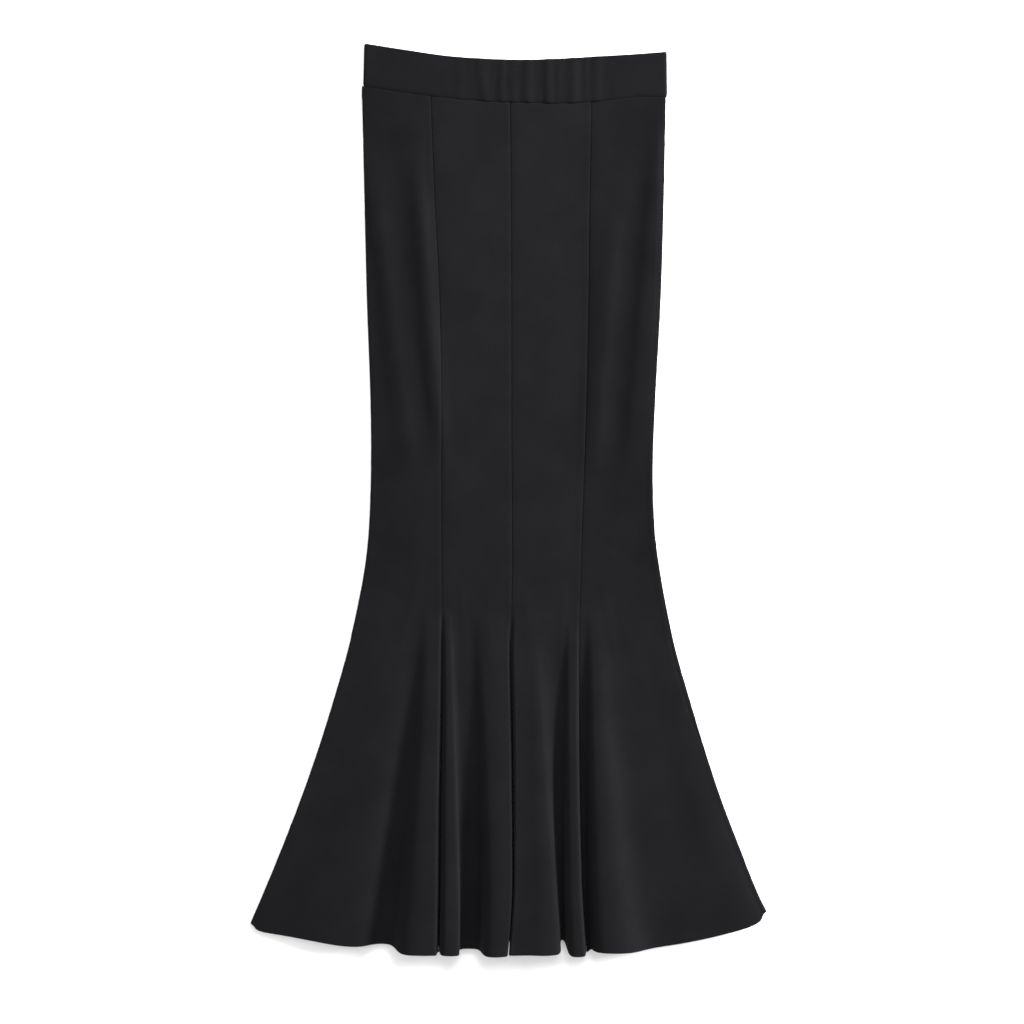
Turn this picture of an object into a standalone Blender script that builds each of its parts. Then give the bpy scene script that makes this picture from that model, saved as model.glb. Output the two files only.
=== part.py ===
"""Mermaid fishtail skirt of black stretch knit, lying flat on its back gores.

Eight gores hang from an elastic waistband. The skirt is narrow to the knee and
flares from a throat line to a hem that stands in deep folds. It lies face up:
+Z is up, +Y runs towards the waist, and left and right are those of someone
looking down at it with the waist at the top. The underside rests on z = 0.

All sizes below are millimetres; the mesh is written in metres.
"""
from collections import namedtuple
import math

import bmesh
import bpy
from mathutils import Vector

MM = 0.001

# --- cloth and seams ---------------------------------------------------------
CLOTH = 1.2            # wall of a gore
BAND_WALL = 2.6        # waistband: two layers of knit with elastic between them
SEAM_GAP = 0.3         # clear space between neighbouring pieces
# Taken off a gore's middle at each seam, left edge first and then round the front and
# the back: more where the cloth bends over the seam.
SEAM_TRIMS = (0.18, 0.24, 0.26, 0.21, 0.30, 0.18, 0.18, 0.18, 0.18)
FRONT_REST = 2.6       # height of the front cloth's middle where it lies on the back
EDGE_REST = 3.4        # the same at the side edges, where the cloth turns over
EDGE_TURN = 4.0        # how far in from a side edge the turn reaches
BAND_GAP = 0.8         # air between the front and the back of the waistband

# --- lengthwise ----------------------------------------------------------------
THROAT_Y = -117.0      # where the flare folds begin
EVEN_Y = 60.0          # above this the columns are spread evenly over each gore
LIFT_LENGTH = 70.0     # the front gores come down from the waistband over this length
UPPER_ROWS = 7
FLARE_ROWS = 11
UPPER_GRADE = 1.3      # rows crowd towards the throat
FLARE_GRADE = 1.15
RISE_POWER = 0.9       # how fast a fold gains height below the throat

# --- columns -------------------------------------------------------------------
FRONT_STEPS = 2        # columns for each span between two fold points
BACK_STEP = 16.0       # widest column of a back gore at the waist
BAND_FRONT_COLUMNS = 64
BAND_BACK_COLUMNS = 20
BAND_TURN_STEPS = 4
BAND_ROWS = 4
PROBE = 0.01           # parameter step for tangents

# The outline and the three seams at each level.
Level = namedtuple("Level", "name y left_edge left_seam centre_seam right_seam right_edge")
LEVELS = (
    Level("waist", 430.0, -154.4, -82.0, 1.4, 87.0, 165.4),
    Level("high_hip", 313.6, -152.1, -77.5, 2.5, 84.9, 163.3),
    Level("hip", 208.6, -149.8, -72.1, 2.7, 83.6, 160.2),
    Level("thigh", 103.6, -146.0, -69.9, 2.9, 81.4, 154.5),
    Level("knee", 30.0, -145.3, -70.3, 3.4, 79.2, 151.8),
    Level("below_knee", -33.0, -147.5, -70.3, 3.7, 77.0, 153.8),
    Level("above_throat", -75.0, -152.0, -70.0, 3.7, 75.7, 159.0),
    Level("throat", -119.0, -160.0, -69.8, 3.0, 74.6, 166.7),
    Level("flare_1", -159.0, -168.8, -69.8, 2.2, 74.1, 175.3),
    Level("flare_2", -211.0, -183.7, -69.8, 3.2, 74.1, 190.1),
    Level("flare_3", -264.0, -200.3, -70.4, 4.2, 74.4, 206.1),
    Level("flare_4", -316.0, -218.5, -71.2, 4.8, 75.1, 223.4),
    Level("flare_5", -369.0, -239.0, -71.7, 4.9, 76.4, 243.7),
    Level("flare_6", -411.0, -256.3, -72.0, 4.6, 77.6, 260.3),
    Level("tips", -446.6, -271.6, -72.6, 2.4, 80.0, 277.5),
    Level("hem", -480.0, -286.0, -73.1, -0.8, 82.4, 294.0),
)

# The curved top edge of the waistband and the seam below it, across the width.
WaistPoint = namedtuple("WaistPoint", "x top_y seam_y")
WAIST = (
    WaistPoint(-156.0, 478.0, 433.1),
    WaistPoint(-110.0, 470.8, 425.8),
    WaistPoint(-66.0, 464.4, 420.3),
    WaistPoint(-24.0, 461.2, 416.6),
    WaistPoint(18.0, 460.1, 415.2),
    WaistPoint(60.0, 461.6, 414.4),
    WaistPoint(102.0, 464.1, 417.3),
    WaistPoint(136.0, 466.2, 421.2),
    WaistPoint(168.0, 468.7, 420.8),
)
BAND_LEFT = (-152.3, -151.3)     # outer edge at the seam and at the top
BAND_RIGHT = (166.5, 166.1)

# Soft gathers in the front of the waistband: raised strips, from seam to top edge.
Gather = namedtuple("Gather", "x height half_width lean")
GATHERS = (
    Gather(-51.0, 0.4, 4.5, -2.0),
    Gather(-27.5, 1.0, 5.5, -7.0),
    Gather(-6.5, 0.8, 4.0, 0.0),
    Gather(5.0, 0.5, 4.5, 1.0),
    Gather(20.5, 1.0, 5.0, 0.0),
    Gather(41.5, 1.3, 5.0, -0.5),
    Gather(52.0, 0.4, 3.5, 0.0),
    Gather(68.0, 1.1, 5.5, 0.5),
    Gather(81.5, 0.4, 3.5, 0.0),
    Gather(92.0, 1.1, 5.5, 0.0),
)

# Shallow creases that run down the side gores from hip to knee, each a raised strip
# with its own width on either side; it has its full height from full_y down.
Crease = namedtuple("Crease", "name x_top x_bottom height left_width right_width full_y")
CREASE_TOP_Y = 313.6
CREASE_BOTTOM_Y = 103.6
CREASE_FADE = 95.0
CREASES = (
    Crease("left_outer", -138.5, -112.5, 2.3, 13.0, 10.0, 285.0),
    Crease("left_inner", -91.5, -75.0, 3.6, 11.5, 8.5, 275.0),
    Crease("right_inner", 112.0, 95.0, 3.3, 16.0, 10.5, 235.0),
    Crease("right_outer", 153.0, 133.0, 2.6, 11.0, 17.0, 335.0),
)

# Fold points of the front gores, from the gore's left seam to its right seam.
# throat and hem are shares of the gore's width there, height is what the point
# gains above the rest height at the hem, start is how far down the flare it
# begins, and hem_y is where the hem lies.
Fold = namedtuple("Fold", "name throat hem height start hem_y")
FRONT_FOLDS = {
    "front_side_gore_left": (
        Fold("corner", 0.090, 0.050, 0.8, 0.00, -454.0),
        Fold("apron", 0.200, 0.170, 2.2, 0.10, -457.0),
        Fold("rise", 0.320, 0.340, 8.0, 0.10, -462.0),
        Fold("crest_outer", 0.440, 0.500, 10.6, 0.10, -468.0),
        Fold("crest_inner", 0.570, 0.616, 9.6, 0.10, -469.0),
        Fold("trough_outer", 0.650, 0.658, 0.8, 0.00, -467.0),
        Fold("trough_inner", 0.750, 0.770, 0.2, 0.00, -466.0),
        Fold("shoulder_outer", 0.820, 0.800, 22.0, 0.00, -474.5),
        Fold("top", 0.880, 0.882, 25.6, 0.00, -475.0),
        Fold("top_inner", 0.930, 0.972, 25.0, 0.00, -475.0),
        Fold("shoulder_inner", 0.965, 0.990, 25.0, 0.00, -475.0),
        Fold("seam_foot", 0.985, 0.991, 0.3, 0.00, -475.5),
    ),
    "front_centre_gore_left": (
        Fold("seam_foot", 0.018, 0.022, 0.3, 0.00, -475.5),
        Fold("small_shoulder_outer", 0.050, 0.032, 23.0, 0.00, -475.0),
        Fold("small_top", 0.080, 0.130, 25.0, 0.00, -475.5),
        Fold("small_top_inner", 0.100, 0.255, 23.8, 0.00, -475.5),
        Fold("small_shoulder_inner", 0.120, 0.309, 22.6, 0.00, -475.0),
        Fold("trough_outer", 0.190, 0.272, 0.8, 0.00, -472.0),
        Fold("trough_middle", 0.310, 0.420, 0.8, 0.00, -472.0),
        Fold("trough_inner", 0.460, 0.590, 0.8, 0.00, -472.0),
        Fold("shoulder_outer", 0.540, 0.645, 19.0, 0.00, -476.0),
        Fold("rise", 0.680, 0.725, 23.2, 0.00, -477.0),
        Fold("top", 0.800, 0.850, 23.6, 0.00, -477.0),
        Fold("top_inner", 0.880, 0.972, 22.8, 0.03, -476.5),
        Fold("shoulder_inner", 0.955, 0.992, 23.0, 0.03, -476.0),
        Fold("seam_foot", 0.970, 0.979, 0.6, 0.00, -469.0),
    ),
    "front_centre_gore_right": (
        Fold("seam_foot", 0.030, 0.021, 0.6, 0.00, -469.0),
        Fold("shoulder_inner", 0.045, 0.009, 22.0, 0.00, -475.5),
        Fold("top_inner", 0.080, 0.022, 21.4, 0.00, -475.5),
        Fold("top", 0.180, 0.130, 21.6, 0.00, -475.5),
        Fold("hollow", 0.270, 0.280, 22.4, 0.00, -475.0),
        Fold("top_outer", 0.320, 0.430, 24.2, 0.00, -475.5),
        Fold("shoulder_outer", 0.350, 0.590, 23.2, 0.00, -475.0),
        Fold("wall_top", 0.370, 0.680, 20.4, 0.00, -474.0),
        Fold("trough_inner", 0.570, 0.645, 0.6, 0.00, -462.0),
        Fold("trough_outer", 0.790, 0.735, 0.6, 0.00, -462.0),
        Fold("small_shoulder_inner", 0.840, 0.762, 19.5, 0.03, -476.0),
        Fold("small_top", 0.870, 0.835, 23.0, 0.03, -477.0),
        Fold("small_top_outer", 0.920, 0.925, 23.2, 0.03, -476.5),
        Fold("small_shoulder_outer", 0.950, 0.974, 23.6, 0.03, -476.0),
        Fold("seam_foot", 0.985, 0.983, 0.3, 0.00, -475.5),
    ),
    "front_side_gore_right": (
        Fold("seam_foot", 0.016, 0.010, 0.3, 0.00, -475.0),
        Fold("flank", 0.080, 0.026, 0.8, 0.00, -471.0),
        Fold("shoulder_inner", 0.125, 0.038, 19.5, 0.00, -473.0),
        Fold("top", 0.180, 0.125, 22.4, 0.00, -473.5),
        Fold("shoulder_outer", 0.230, 0.220, 20.0, 0.00, -473.5),
        Fold("slope", 0.320, 0.280, 6.8, 0.00, -473.0),
        Fold("trough_inner", 0.420, 0.345, 2.2, 0.00, -470.5),
        Fold("trough_outer", 0.510, 0.450, 1.2, 0.00, -468.0),
        Fold("swell_inner", 0.620, 0.610, 3.6, 0.20, -462.0),
        Fold("swell_outer", 0.730, 0.740, 3.6, 0.20, -456.0),
        Fold("apron", 0.820, 0.860, 2.8, 0.10, -450.0),
        Fold("corner", 0.910, 0.950, 1.0, 0.00, -443.5),
    ),
}
SEAM_HEM_Y = {"left_seam": -475.5, "centre_seam": -461.0, "right_seam": -475.5}
TIP_Y = {"left": -445.5, "right": -433.5}
CORNER_DROP = 3.0      # the hem falls this much over the turn at a side edge

# The back gores lie flat, each with one narrow upward fold under a front ridge.
BackFold = namedtuple("BackFold", "throat hem height hem_y")
BACK_FOLDS = {
    "back_side_gore_left": BackFold(0.905, 0.950, 18.0, -458.0),
    "back_centre_gore_left": BackFold(0.84, 0.865, 19.0, -459.0),
    "back_centre_gore_right": BackFold(0.16, 0.140, 19.0, -459.0),
    "back_side_gore_right": BackFold(0.12, 0.094, 18.0, -457.0),
}
BACK_FOLD_START = 0.06   # the back folds begin a little below the front ones
BACK_FOLD_HALF = 2.6     # half width of an upward fold
BACK_FOLD_FOOT = 7.0     # reach of its foot to each side
BACK_SIDE_SHARE = 0.45   # a plain point in the wide part of a back side gore
BACK_SIDE_HEM_Y = -454.0
BACK_SEAM_HEM_Y = -459.0

# The right side seam rolls up onto the face for part of the flare.
ROLL_TOP_Y = -50.0
ROLL_BOTTOM_Y = -340.0
ROLL_LEAST = 0.25      # in fold points, along the section
ROLL_MOST = 1.9

GORE_ORDER = (
    "front_side_gore_left", "front_centre_gore_left",
    "front_centre_gore_right", "front_side_gore_right",
    "back_side_gore_right", "back_centre_gore_right",
    "back_centre_gore_left", "back_side_gore_left",
)
GORE_SIDES = {
    "side_gore_left": ("left_edge", "left_seam"),
    "centre_gore_left": ("left_seam", "centre_seam"),
    "centre_gore_right": ("centre_seam", "right_seam"),
    "side_gore_right": ("right_seam", "right_edge"),
}

# Base colours (linear), roughness of the knit.
KNIT_COLOUR = (0.0115, 0.0115, 0.0130, 1.0)
BACK_COLOUR = (0.0100, 0.0100, 0.0112, 1.0)
BAND_COLOUR = (0.0105, 0.0105, 0.0120, 1.0)
KNIT_ROUGHNESS = 0.88


def mix(a, b, share):
    """Value between a and b."""
    return a + (b - a) * share


def ease(share):
    """Smooth step from 0 to 1."""
    share = min(max(share, 0.0), 1.0)
    return share * share * (3.0 - 2.0 * share)


def look_up(table, key, column, value):
    """Smooth curve through one column of a table, read at a value of its key."""
    rows = sorted(table, key=lambda row: getattr(row, key))
    keys = [getattr(row, key) for row in rows]
    data = [getattr(row, column) for row in rows]
    last = len(rows) - 1
    value = min(max(value, keys[0]), keys[last])
    i = 0
    while i < last - 1 and value > keys[i + 1]:
        i += 1

    def slope(k):
        low = max(k - 1, 0)
        high = min(k + 1, last)
        return (data[high] - data[low]) / (keys[high] - keys[low])

    span = keys[i + 1] - keys[i]
    s = (value - keys[i]) / span
    return (
        (2 * s**3 - 3 * s**2 + 1) * data[i]
        + (s**3 - 2 * s**2 + s) * span * slope(i)
        + (3 * s**2 - 2 * s**3) * data[i + 1]
        + (s**3 - s**2) * span * slope(i + 1)
    )


def level(column, y):
    """Place of the outline or of a seam at y; the edges are those of the cloth's middle."""
    x = look_up(LEVELS, "y", column, y)
    if column == "left_edge":
        return x + CLOTH / 2
    if column == "right_edge":
        return x - CLOTH / 2
    return x


def row_y(v, seam_y, hem_y):
    """Height down the skirt: v runs 0 to 1 from waist seam to throat, 1 to 2 to the hem."""
    if v <= 1.0:
        return mix(seam_y, THROAT_Y, v)
    return mix(THROAT_Y, hem_y, v - 1.0)


def waist_seam_y(x):
    """The seam under the waistband, less half of the gap there."""
    return look_up(WAIST, "x", "seam_y", x) - SEAM_GAP / 2


def rise(v, start):
    """Share of its height that a fold has reached at v."""
    down = (v - 1.0 - start) / (1.0 - start)
    return max(down, 0.0) ** RISE_POWER


def front_rest(y, x):
    """Height of the front cloth's middle where it lies on the back."""
    band_height = BAND_WALL * 1.5 + BAND_GAP
    near = ease(1.0 - (waist_seam_y(x) - y) / LIFT_LENGTH)
    return mix(FRONT_REST, band_height, near)


def gore_sides(gore):
    """Names of the level columns on a gore's left and right."""
    return GORE_SIDES[gore.split("_", 1)[1]]


def gore_point(gore, v, throat, hem, hem_y, even, shift=0.0):
    """x and y of a point of a gore, at its share of the width between the seams."""
    left, right = gore_sides(gore)
    x_waist = mix(level(left, LEVELS[0].y), level(right, LEVELS[0].y), even)
    y = row_y(v, waist_seam_y(x_waist + shift), hem_y)
    if v > 1.0:
        share = mix(throat, hem, v - 1.0)
    else:
        share = mix(throat, even, ease((y - THROAT_Y) / (EVEN_Y - THROAT_Y)))
    return mix(level(left, y), level(right, y), share) + shift, y


def front_gore_points(gore, v):
    """Fold points of a front gore, left to right, without its seams."""
    folds = FRONT_FOLDS[gore]
    points = []
    for i, fold in enumerate(folds):
        even = (i + 1) / (len(folds) + 1)
        x, y = gore_point(gore, v, fold.throat, fold.hem, fold.hem_y, even)
        points.append(Vector((x, y, front_rest(y, x) + fold.height * rise(v, fold.start))))
    return points


def back_gore_points(gore, v):
    """Points of a back gore, left to right, without its seams."""
    fold = BACK_FOLDS[gore]
    height = fold.height * rise(v, BACK_FOLD_START)
    flat = CLOTH / 2
    across = (
        (-BACK_FOLD_FOOT, flat), (-BACK_FOLD_HALF, flat), (-BACK_FOLD_HALF, flat + height),
        (BACK_FOLD_HALF, flat + height), (BACK_FOLD_HALF, flat), (BACK_FOLD_FOOT, flat),
    )
    points = []
    for shift, z in across:
        x, y = gore_point(gore, v, fold.throat, fold.hem, fold.hem_y, fold.throat, shift)
        points.append(Vector((x, y, z)))
    if "side" in gore:
        share = BACK_SIDE_SHARE if "left" in gore else 1.0 - BACK_SIDE_SHARE
        x, y = gore_point(gore, v, share, share, BACK_SIDE_HEM_Y, share)
        plain = Vector((x, y, flat))
        points.insert(0 if "left" in gore else len(points), plain)
    return points


def seam_point(v, column, hem_y, z):
    """Point of a lengthwise seam; z None keeps it at the front's rest height."""
    x_waist = level(column, LEVELS[0].y)
    y = row_y(v, waist_seam_y(x_waist), hem_y)
    x = level(column, y)
    return Vector((x, y, front_rest(y, x) if z is None else z))


def side_points(v, side):
    """The turn at a side edge: front inner, front edge, seam, back edge, back inner."""
    column = side + "_edge"
    inward = EDGE_TURN if side == "left" else -EDGE_TURN
    middle = seam_point(v, column, TIP_Y[side], None)
    drop = CORNER_DROP * max(v - 1.0, 0.0)
    top = max(middle.z, EDGE_REST)
    flat = CLOTH / 2
    turn = (
        (inward, -drop, top), (0.0, 0.0, top), (0.0, 0.0, (top + flat) / 2),
        (0.0, 0.0, flat), (inward, -drop, flat),
    )
    return [Vector((middle.x + dx, middle.y + dy, z)) for dx, dy, z in turn]


def section(v):
    """Closed polygon of one section and the index of the seam that starts each gore."""
    left_turn = side_points(v, "left")
    right_turn = side_points(v, "right")
    points = [left_turn[2], left_turn[1], left_turn[0]]
    starts = [0]
    for gore in GORE_ORDER[:4]:
        points += front_gore_points(gore, v)
        right = gore_sides(gore)[1]
        if right == "right_edge":
            points += right_turn[:2]
            starts.append(len(points))
            points += right_turn[2:]
        else:
            starts.append(len(points))
            points.append(seam_point(v, right, SEAM_HEM_Y[right], None))
    for gore in GORE_ORDER[4:]:
        points += reversed(back_gore_points(gore, v))
        left = gore_sides(gore)[0]
        if left == "left_edge":
            points += [left_turn[4], left_turn[3]]
        else:
            starts.append(len(points))
            points.append(seam_point(v, left, BACK_SEAM_HEM_Y, CLOTH / 2))
    starts.append(len(points))
    return points, starts


class Skirt:
    """The skirt's middle surface, as smooth closed sections read at any v."""

    def __init__(self):
        self.sections = {}
        self.starts = section(0.0)[1]

    def polygon(self, v):
        """Section polygon at v, kept once worked out."""
        key = round(v, 6)
        if key not in self.sections:
            self.sections[key] = section(v)[0]
        return self.sections[key]

    def plain(self, u, v):
        """Point of the section at v; above the throat its rows fan out from the waist seam."""
        point = self.spline(u, v)
        if v < 1.0:
            point.y = row_y(v, waist_seam_y(self.spline(u, 0.0).x), THROAT_Y)
        return point

    def spline(self, u, v):
        """Point of the closed cubic B-spline through the section's polygon."""
        polygon = self.polygon(v)
        count = len(polygon)
        i = math.floor(u)
        s = u - i
        weights = ((1 - s) ** 3, 3 * s**3 - 6 * s**2 + 4, -3 * s**3 + 3 * s**2 + 3 * s + 1, s**3)
        point = Vector()
        for k, weight in enumerate(weights):
            point += polygon[(i - 1 + k) % count] * (weight / 6.0)
        return point

    def point(self, u, v):
        """Point of the cloth's middle, with the creases of the side gores."""
        point = self.plain(u, v)
        if 0.0 < u < self.starts[4]:
            point.z += creases(point.x, point.y)
        return point

    def normal(self, u, v):
        """Outward direction of the cloth at (u, v)."""
        v_low = max(v - PROBE, 0.0)
        v_high = min(v + PROBE, 2.0)
        across = self.point(u + PROBE, v) - self.point(u - PROBE, v)
        along = self.point(u, v_high) - self.point(u, v_low)
        return along.cross(across).normalized()

    def speed(self, u, v):
        """Millimetres for one unit of u."""
        return (self.point(u + PROBE, v) - self.point(u - PROBE, v)).length / (2 * PROBE)


def creases(x, y):
    """Height of the soft creases of the side gores."""
    down = (CREASE_TOP_Y - y) / (CREASE_TOP_Y - CREASE_BOTTOM_Y)
    window = ease((y - CREASE_BOTTOM_Y + CREASE_FADE) / CREASE_FADE)
    if window <= 0.0:
        return 0.0
    window *= ease((x - level("left_edge", y)) / (2 * EDGE_TURN))
    window *= ease((level("right_edge", y) - x) / (2 * EDGE_TURN))
    height = 0.0
    for crease in CREASES:
        off = x - mix(crease.x_top, crease.x_bottom, down)
        width = crease.left_width if off < 0.0 else crease.right_width
        begun = ease((crease.full_y + CREASE_FADE - y) / CREASE_FADE)
        height += crease.height * math.exp(-((off / width) ** 2)) * begun
    return height * window


def stations():
    """v of each row, from the waist seam to the hem."""
    upper = [1.0 - (1.0 - i / UPPER_ROWS) ** UPPER_GRADE for i in range(UPPER_ROWS)]
    flare = [1.0 + (i / FLARE_ROWS) ** FLARE_GRADE for i in range(FLARE_ROWS + 1)]
    return upper + flare


def seam_roll(v):
    """How far the right side seam moves onto the front at v, in fold points."""
    y = row_y(v, waist_seam_y(level("right_edge", LEVELS[0].y)), TIP_Y["right"])
    middle = (ROLL_TOP_Y + ROLL_BOTTOM_Y) / 2
    reach = (ROLL_TOP_Y - ROLL_BOTTOM_Y) / 2
    return mix(ROLL_LEAST, ROLL_MOST, ease(1.0 - abs(y - middle) / reach))


def gore_grid(skirt, index):
    """Rows of (point, normal) over one gore, trimmed by half of the seam gap."""
    columns = FRONT_STEPS * (skirt.starts[index + 1] - skirt.starts[index])
    rows = []
    for v in stations():
        roll = seam_roll(v)
        first = skirt.starts[index] - (roll if index == 4 else 0.0)
        last = skirt.starts[index + 1] - (roll if index == 3 else 0.0)
        first += SEAM_TRIMS[index] / skirt.speed(first, v)
        last -= SEAM_TRIMS[index + 1] / skirt.speed(last, v)
        if index < 4:
            us = [mix(first, last, k / columns) for k in range(columns + 1)]
        else:
            us = back_columns(skirt, index, first, last)
        rows.append([(skirt.point(u, v), skirt.normal(u, v)) for u in us])
    return rows


def back_columns(skirt, index, first, last):
    """Columns of a back gore: close over its turn and its fold, and no wide step at the waist."""
    begin = skirt.starts[index]
    us = [first]
    if index == 4:
        us += [mix(first, begin, 0.5), float(begin)]
    for k in range(begin, skirt.starts[index + 1]):
        low = max(float(k), first)
        high = min(k + 1.0, last)
        waist_width = (skirt.spline(high, 0.0) - skirt.spline(low, 0.0)).length
        hem_height = max(skirt.spline(high, 2.0).z, skirt.spline(low, 2.0).z)
        steps = 2 if hem_height > CLOTH else 1
        steps = max(steps, math.ceil(waist_width / BACK_STEP))
        us += [mix(low, high, (step + 1) / steps) for step in range(steps)]
    return us


def thick_sheet(name, rows, wall, closed, material):
    """Closed solid of a grid of (point, normal) rows, wall thick, as one object."""
    mesh = bmesh.new()
    faces = []
    for side in (1.0, -1.0):
        faces.append([
            [mesh.verts.new((p + n * (side * wall / 2)) * MM) for p, n in row] for row in rows
        ])
    outer, inner = faces
    last_row = len(rows) - 1
    columns = len(rows[0])
    pairs = columns if closed else columns - 1
    for r in range(last_row):
        for c in range(pairs):
            d = (c + 1) % columns
            mesh.faces.new((outer[r][c], outer[r + 1][c], outer[r + 1][d], outer[r][d]))
            mesh.faces.new((inner[r][c], inner[r][d], inner[r + 1][d], inner[r + 1][c]))
    for c in range(pairs):
        d = (c + 1) % columns
        mesh.faces.new((outer[0][c], outer[0][d], inner[0][d], inner[0][c]))
        mesh.faces.new((outer[last_row][c], inner[last_row][c],
                        inner[last_row][d], outer[last_row][d]))
    if not closed:
        for r in range(last_row):
            end = columns - 1
            mesh.faces.new((outer[r][0], inner[r][0], inner[r + 1][0], outer[r + 1][0]))
            mesh.faces.new((outer[r][end], outer[r + 1][end], inner[r + 1][end], inner[r][end]))
    bmesh.ops.triangulate(mesh, faces=mesh.faces[:])
    bmesh.ops.recalc_face_normals(mesh, faces=mesh.faces[:])
    data = bpy.data.meshes.new(name)
    mesh.to_mesh(data)
    mesh.free()
    data.shade_smooth()
    data.set_sharp_from_angle(angle=math.radians(50))
    data.materials.append(material)
    thing = bpy.data.objects.new(name, data)
    bpy.context.scene.collection.objects.link(thing)
    return thing


def gathers(x, share):
    """Height of the gathers in the front of the waistband, share 0 at its seam."""
    height = 0.0
    for gather in GATHERS:
        middle = gather.x + gather.lean * (share - 0.5)
        height += gather.height * math.exp(-(((x - middle) / gather.half_width) ** 2))
    return height


def band_row(share):
    """Closed row of (point, normal) round the flattened waistband."""
    turn = (BAND_WALL + BAND_GAP) / 2
    centre_z = BAND_WALL / 2 + turn
    left = mix(BAND_LEFT[0], BAND_LEFT[1], share) + BAND_WALL / 2 + turn
    right = mix(BAND_RIGHT[0], BAND_RIGHT[1], share) - BAND_WALL / 2 - turn
    flat = []
    for k in range(BAND_FRONT_COLUMNS + 1):
        x = mix(left, right, k / BAND_FRONT_COLUMNS)
        flat.append((x, centre_z + turn + gathers(x, share)))
    for k in range(1, BAND_TURN_STEPS):
        angle = math.pi / 2 - math.pi * k / BAND_TURN_STEPS
        flat.append((right + turn * math.cos(angle), centre_z + turn * math.sin(angle)))
    for k in range(BAND_BACK_COLUMNS + 1):
        flat.append((mix(right, left, k / BAND_BACK_COLUMNS), centre_z - turn))
    for k in range(1, BAND_TURN_STEPS):
        angle = -math.pi / 2 - math.pi * k / BAND_TURN_STEPS
        flat.append((left + turn * math.cos(angle), centre_z + turn * math.sin(angle)))
    row = []
    count = len(flat)
    for i, (x, z) in enumerate(flat):
        low = look_up(WAIST, "x", "seam_y", x) + SEAM_GAP / 2
        high = look_up(WAIST, "x", "top_y", x)
        before = Vector((flat[i - 1][0], 0.0, flat[i - 1][1]))
        after = Vector((flat[(i + 1) % count][0], 0.0, flat[(i + 1) % count][1]))
        here = Vector((x, 0.0, z))
        across = (after - here).normalized() + (here - before).normalized()
        normal = Vector((-across.z, 0.0, across.x)).normalized()
        row.append((Vector((x, mix(low, high, share), z)), normal))
    return row


def knit(name, colour):
    """Plain finish of the knit."""
    material = bpy.data.materials.new(name)
    material.use_nodes = True
    surface = material.node_tree.nodes["Principled BSDF"]
    surface.inputs["Base Color"].default_value = colour
    surface.inputs["Roughness"].default_value = KNIT_ROUGHNESS
    surface.inputs["Metallic"].default_value = 0.0
    return material


def clear_scene():
    """Remove the objects that a new file starts with."""
    for thing in list(bpy.data.objects):
        bpy.data.objects.remove(thing, do_unlink=True)


def build():
    """Waistband and eight gores."""
    clear_scene()
    rows = [band_row(share / BAND_ROWS) for share in range(BAND_ROWS + 1)]
    thick_sheet("waistband", rows, BAND_WALL, True, knit("waistband_knit", BAND_COLOUR))
    skirt = Skirt()
    for index, gore in enumerate(GORE_ORDER):
        colour = KNIT_COLOUR if index < 4 else BACK_COLOUR
        material = knit(gore + "_knit", colour)
        thick_sheet(gore, gore_grid(skirt, index), CLOTH, False, material)


build()
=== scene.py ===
"""Looks of a black mermaid fishtail skirt: knit gores, seams, turned hem, waistband and a plain studio.

The skirt lies face up on its back gores, with the waist towards +Y. Left and right are those of
someone looking down at it with the waist at the top. Sizes are millimetres unless a name ends in
_m; the meshes are written in metres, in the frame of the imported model.
"""

import logging
import math
from collections.abc import Sequence
from dataclasses import dataclass, field
from enum import Enum
from typing import NamedTuple

import bpy
import numpy as np
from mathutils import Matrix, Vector


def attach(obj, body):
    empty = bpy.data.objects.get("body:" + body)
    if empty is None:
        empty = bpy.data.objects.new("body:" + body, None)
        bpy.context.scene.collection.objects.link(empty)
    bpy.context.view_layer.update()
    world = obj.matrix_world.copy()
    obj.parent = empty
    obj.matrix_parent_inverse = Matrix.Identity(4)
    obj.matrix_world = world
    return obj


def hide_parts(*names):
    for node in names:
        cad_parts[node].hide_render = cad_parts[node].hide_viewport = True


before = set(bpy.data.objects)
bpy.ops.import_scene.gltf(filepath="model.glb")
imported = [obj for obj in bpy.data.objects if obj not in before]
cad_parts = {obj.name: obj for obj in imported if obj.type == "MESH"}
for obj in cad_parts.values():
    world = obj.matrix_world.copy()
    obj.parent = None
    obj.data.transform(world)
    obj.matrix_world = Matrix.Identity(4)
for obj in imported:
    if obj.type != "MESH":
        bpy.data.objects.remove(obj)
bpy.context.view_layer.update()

log = logging.getLogger("skirt")
MM = 0.001
TINY = 1e-12
Numbers = float | np.ndarray
Distances = tuple[float, ...]


class Side(Enum):
    """Side of the skirt, as seen from above with the waist at the top."""

    LEFT = "left"
    RIGHT = "right"


class Face(Enum):
    """Which way a gore looks."""

    FRONT = "front"
    BACK = "back"


class Level(NamedTuple):
    """The outline and the three seams at one level."""

    name: str
    y: float
    left_edge: float
    left_seam: float
    centre_seam: float
    right_seam: float
    right_edge: float


class WaistPoint(NamedTuple):
    """The waistband's top edge and the seam below it, at one place across."""

    x: float
    top_y: float
    seam_y: float


class Gather(NamedTuple):
    """A soft raised strip in the front of the waistband."""

    x: float
    height: float
    half_width: float
    lean: float


class HipCrease(NamedTuple):
    """A shallow crest that runs down a side gore from hip to knee."""

    name: str
    x_top: float
    x_bottom: float
    height: float
    left_width: float
    right_width: float
    full_y: float


class Fold(NamedTuple):
    """A fold point of a front gore; throat and hem are shares of the gore's width there."""

    name: str
    throat: float
    hem: float
    height: float
    start: float
    hem_y: float


class BackFold(NamedTuple):
    """The narrow upward fold of a back gore."""

    throat: float
    hem: float
    height: float
    hem_y: float


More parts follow.
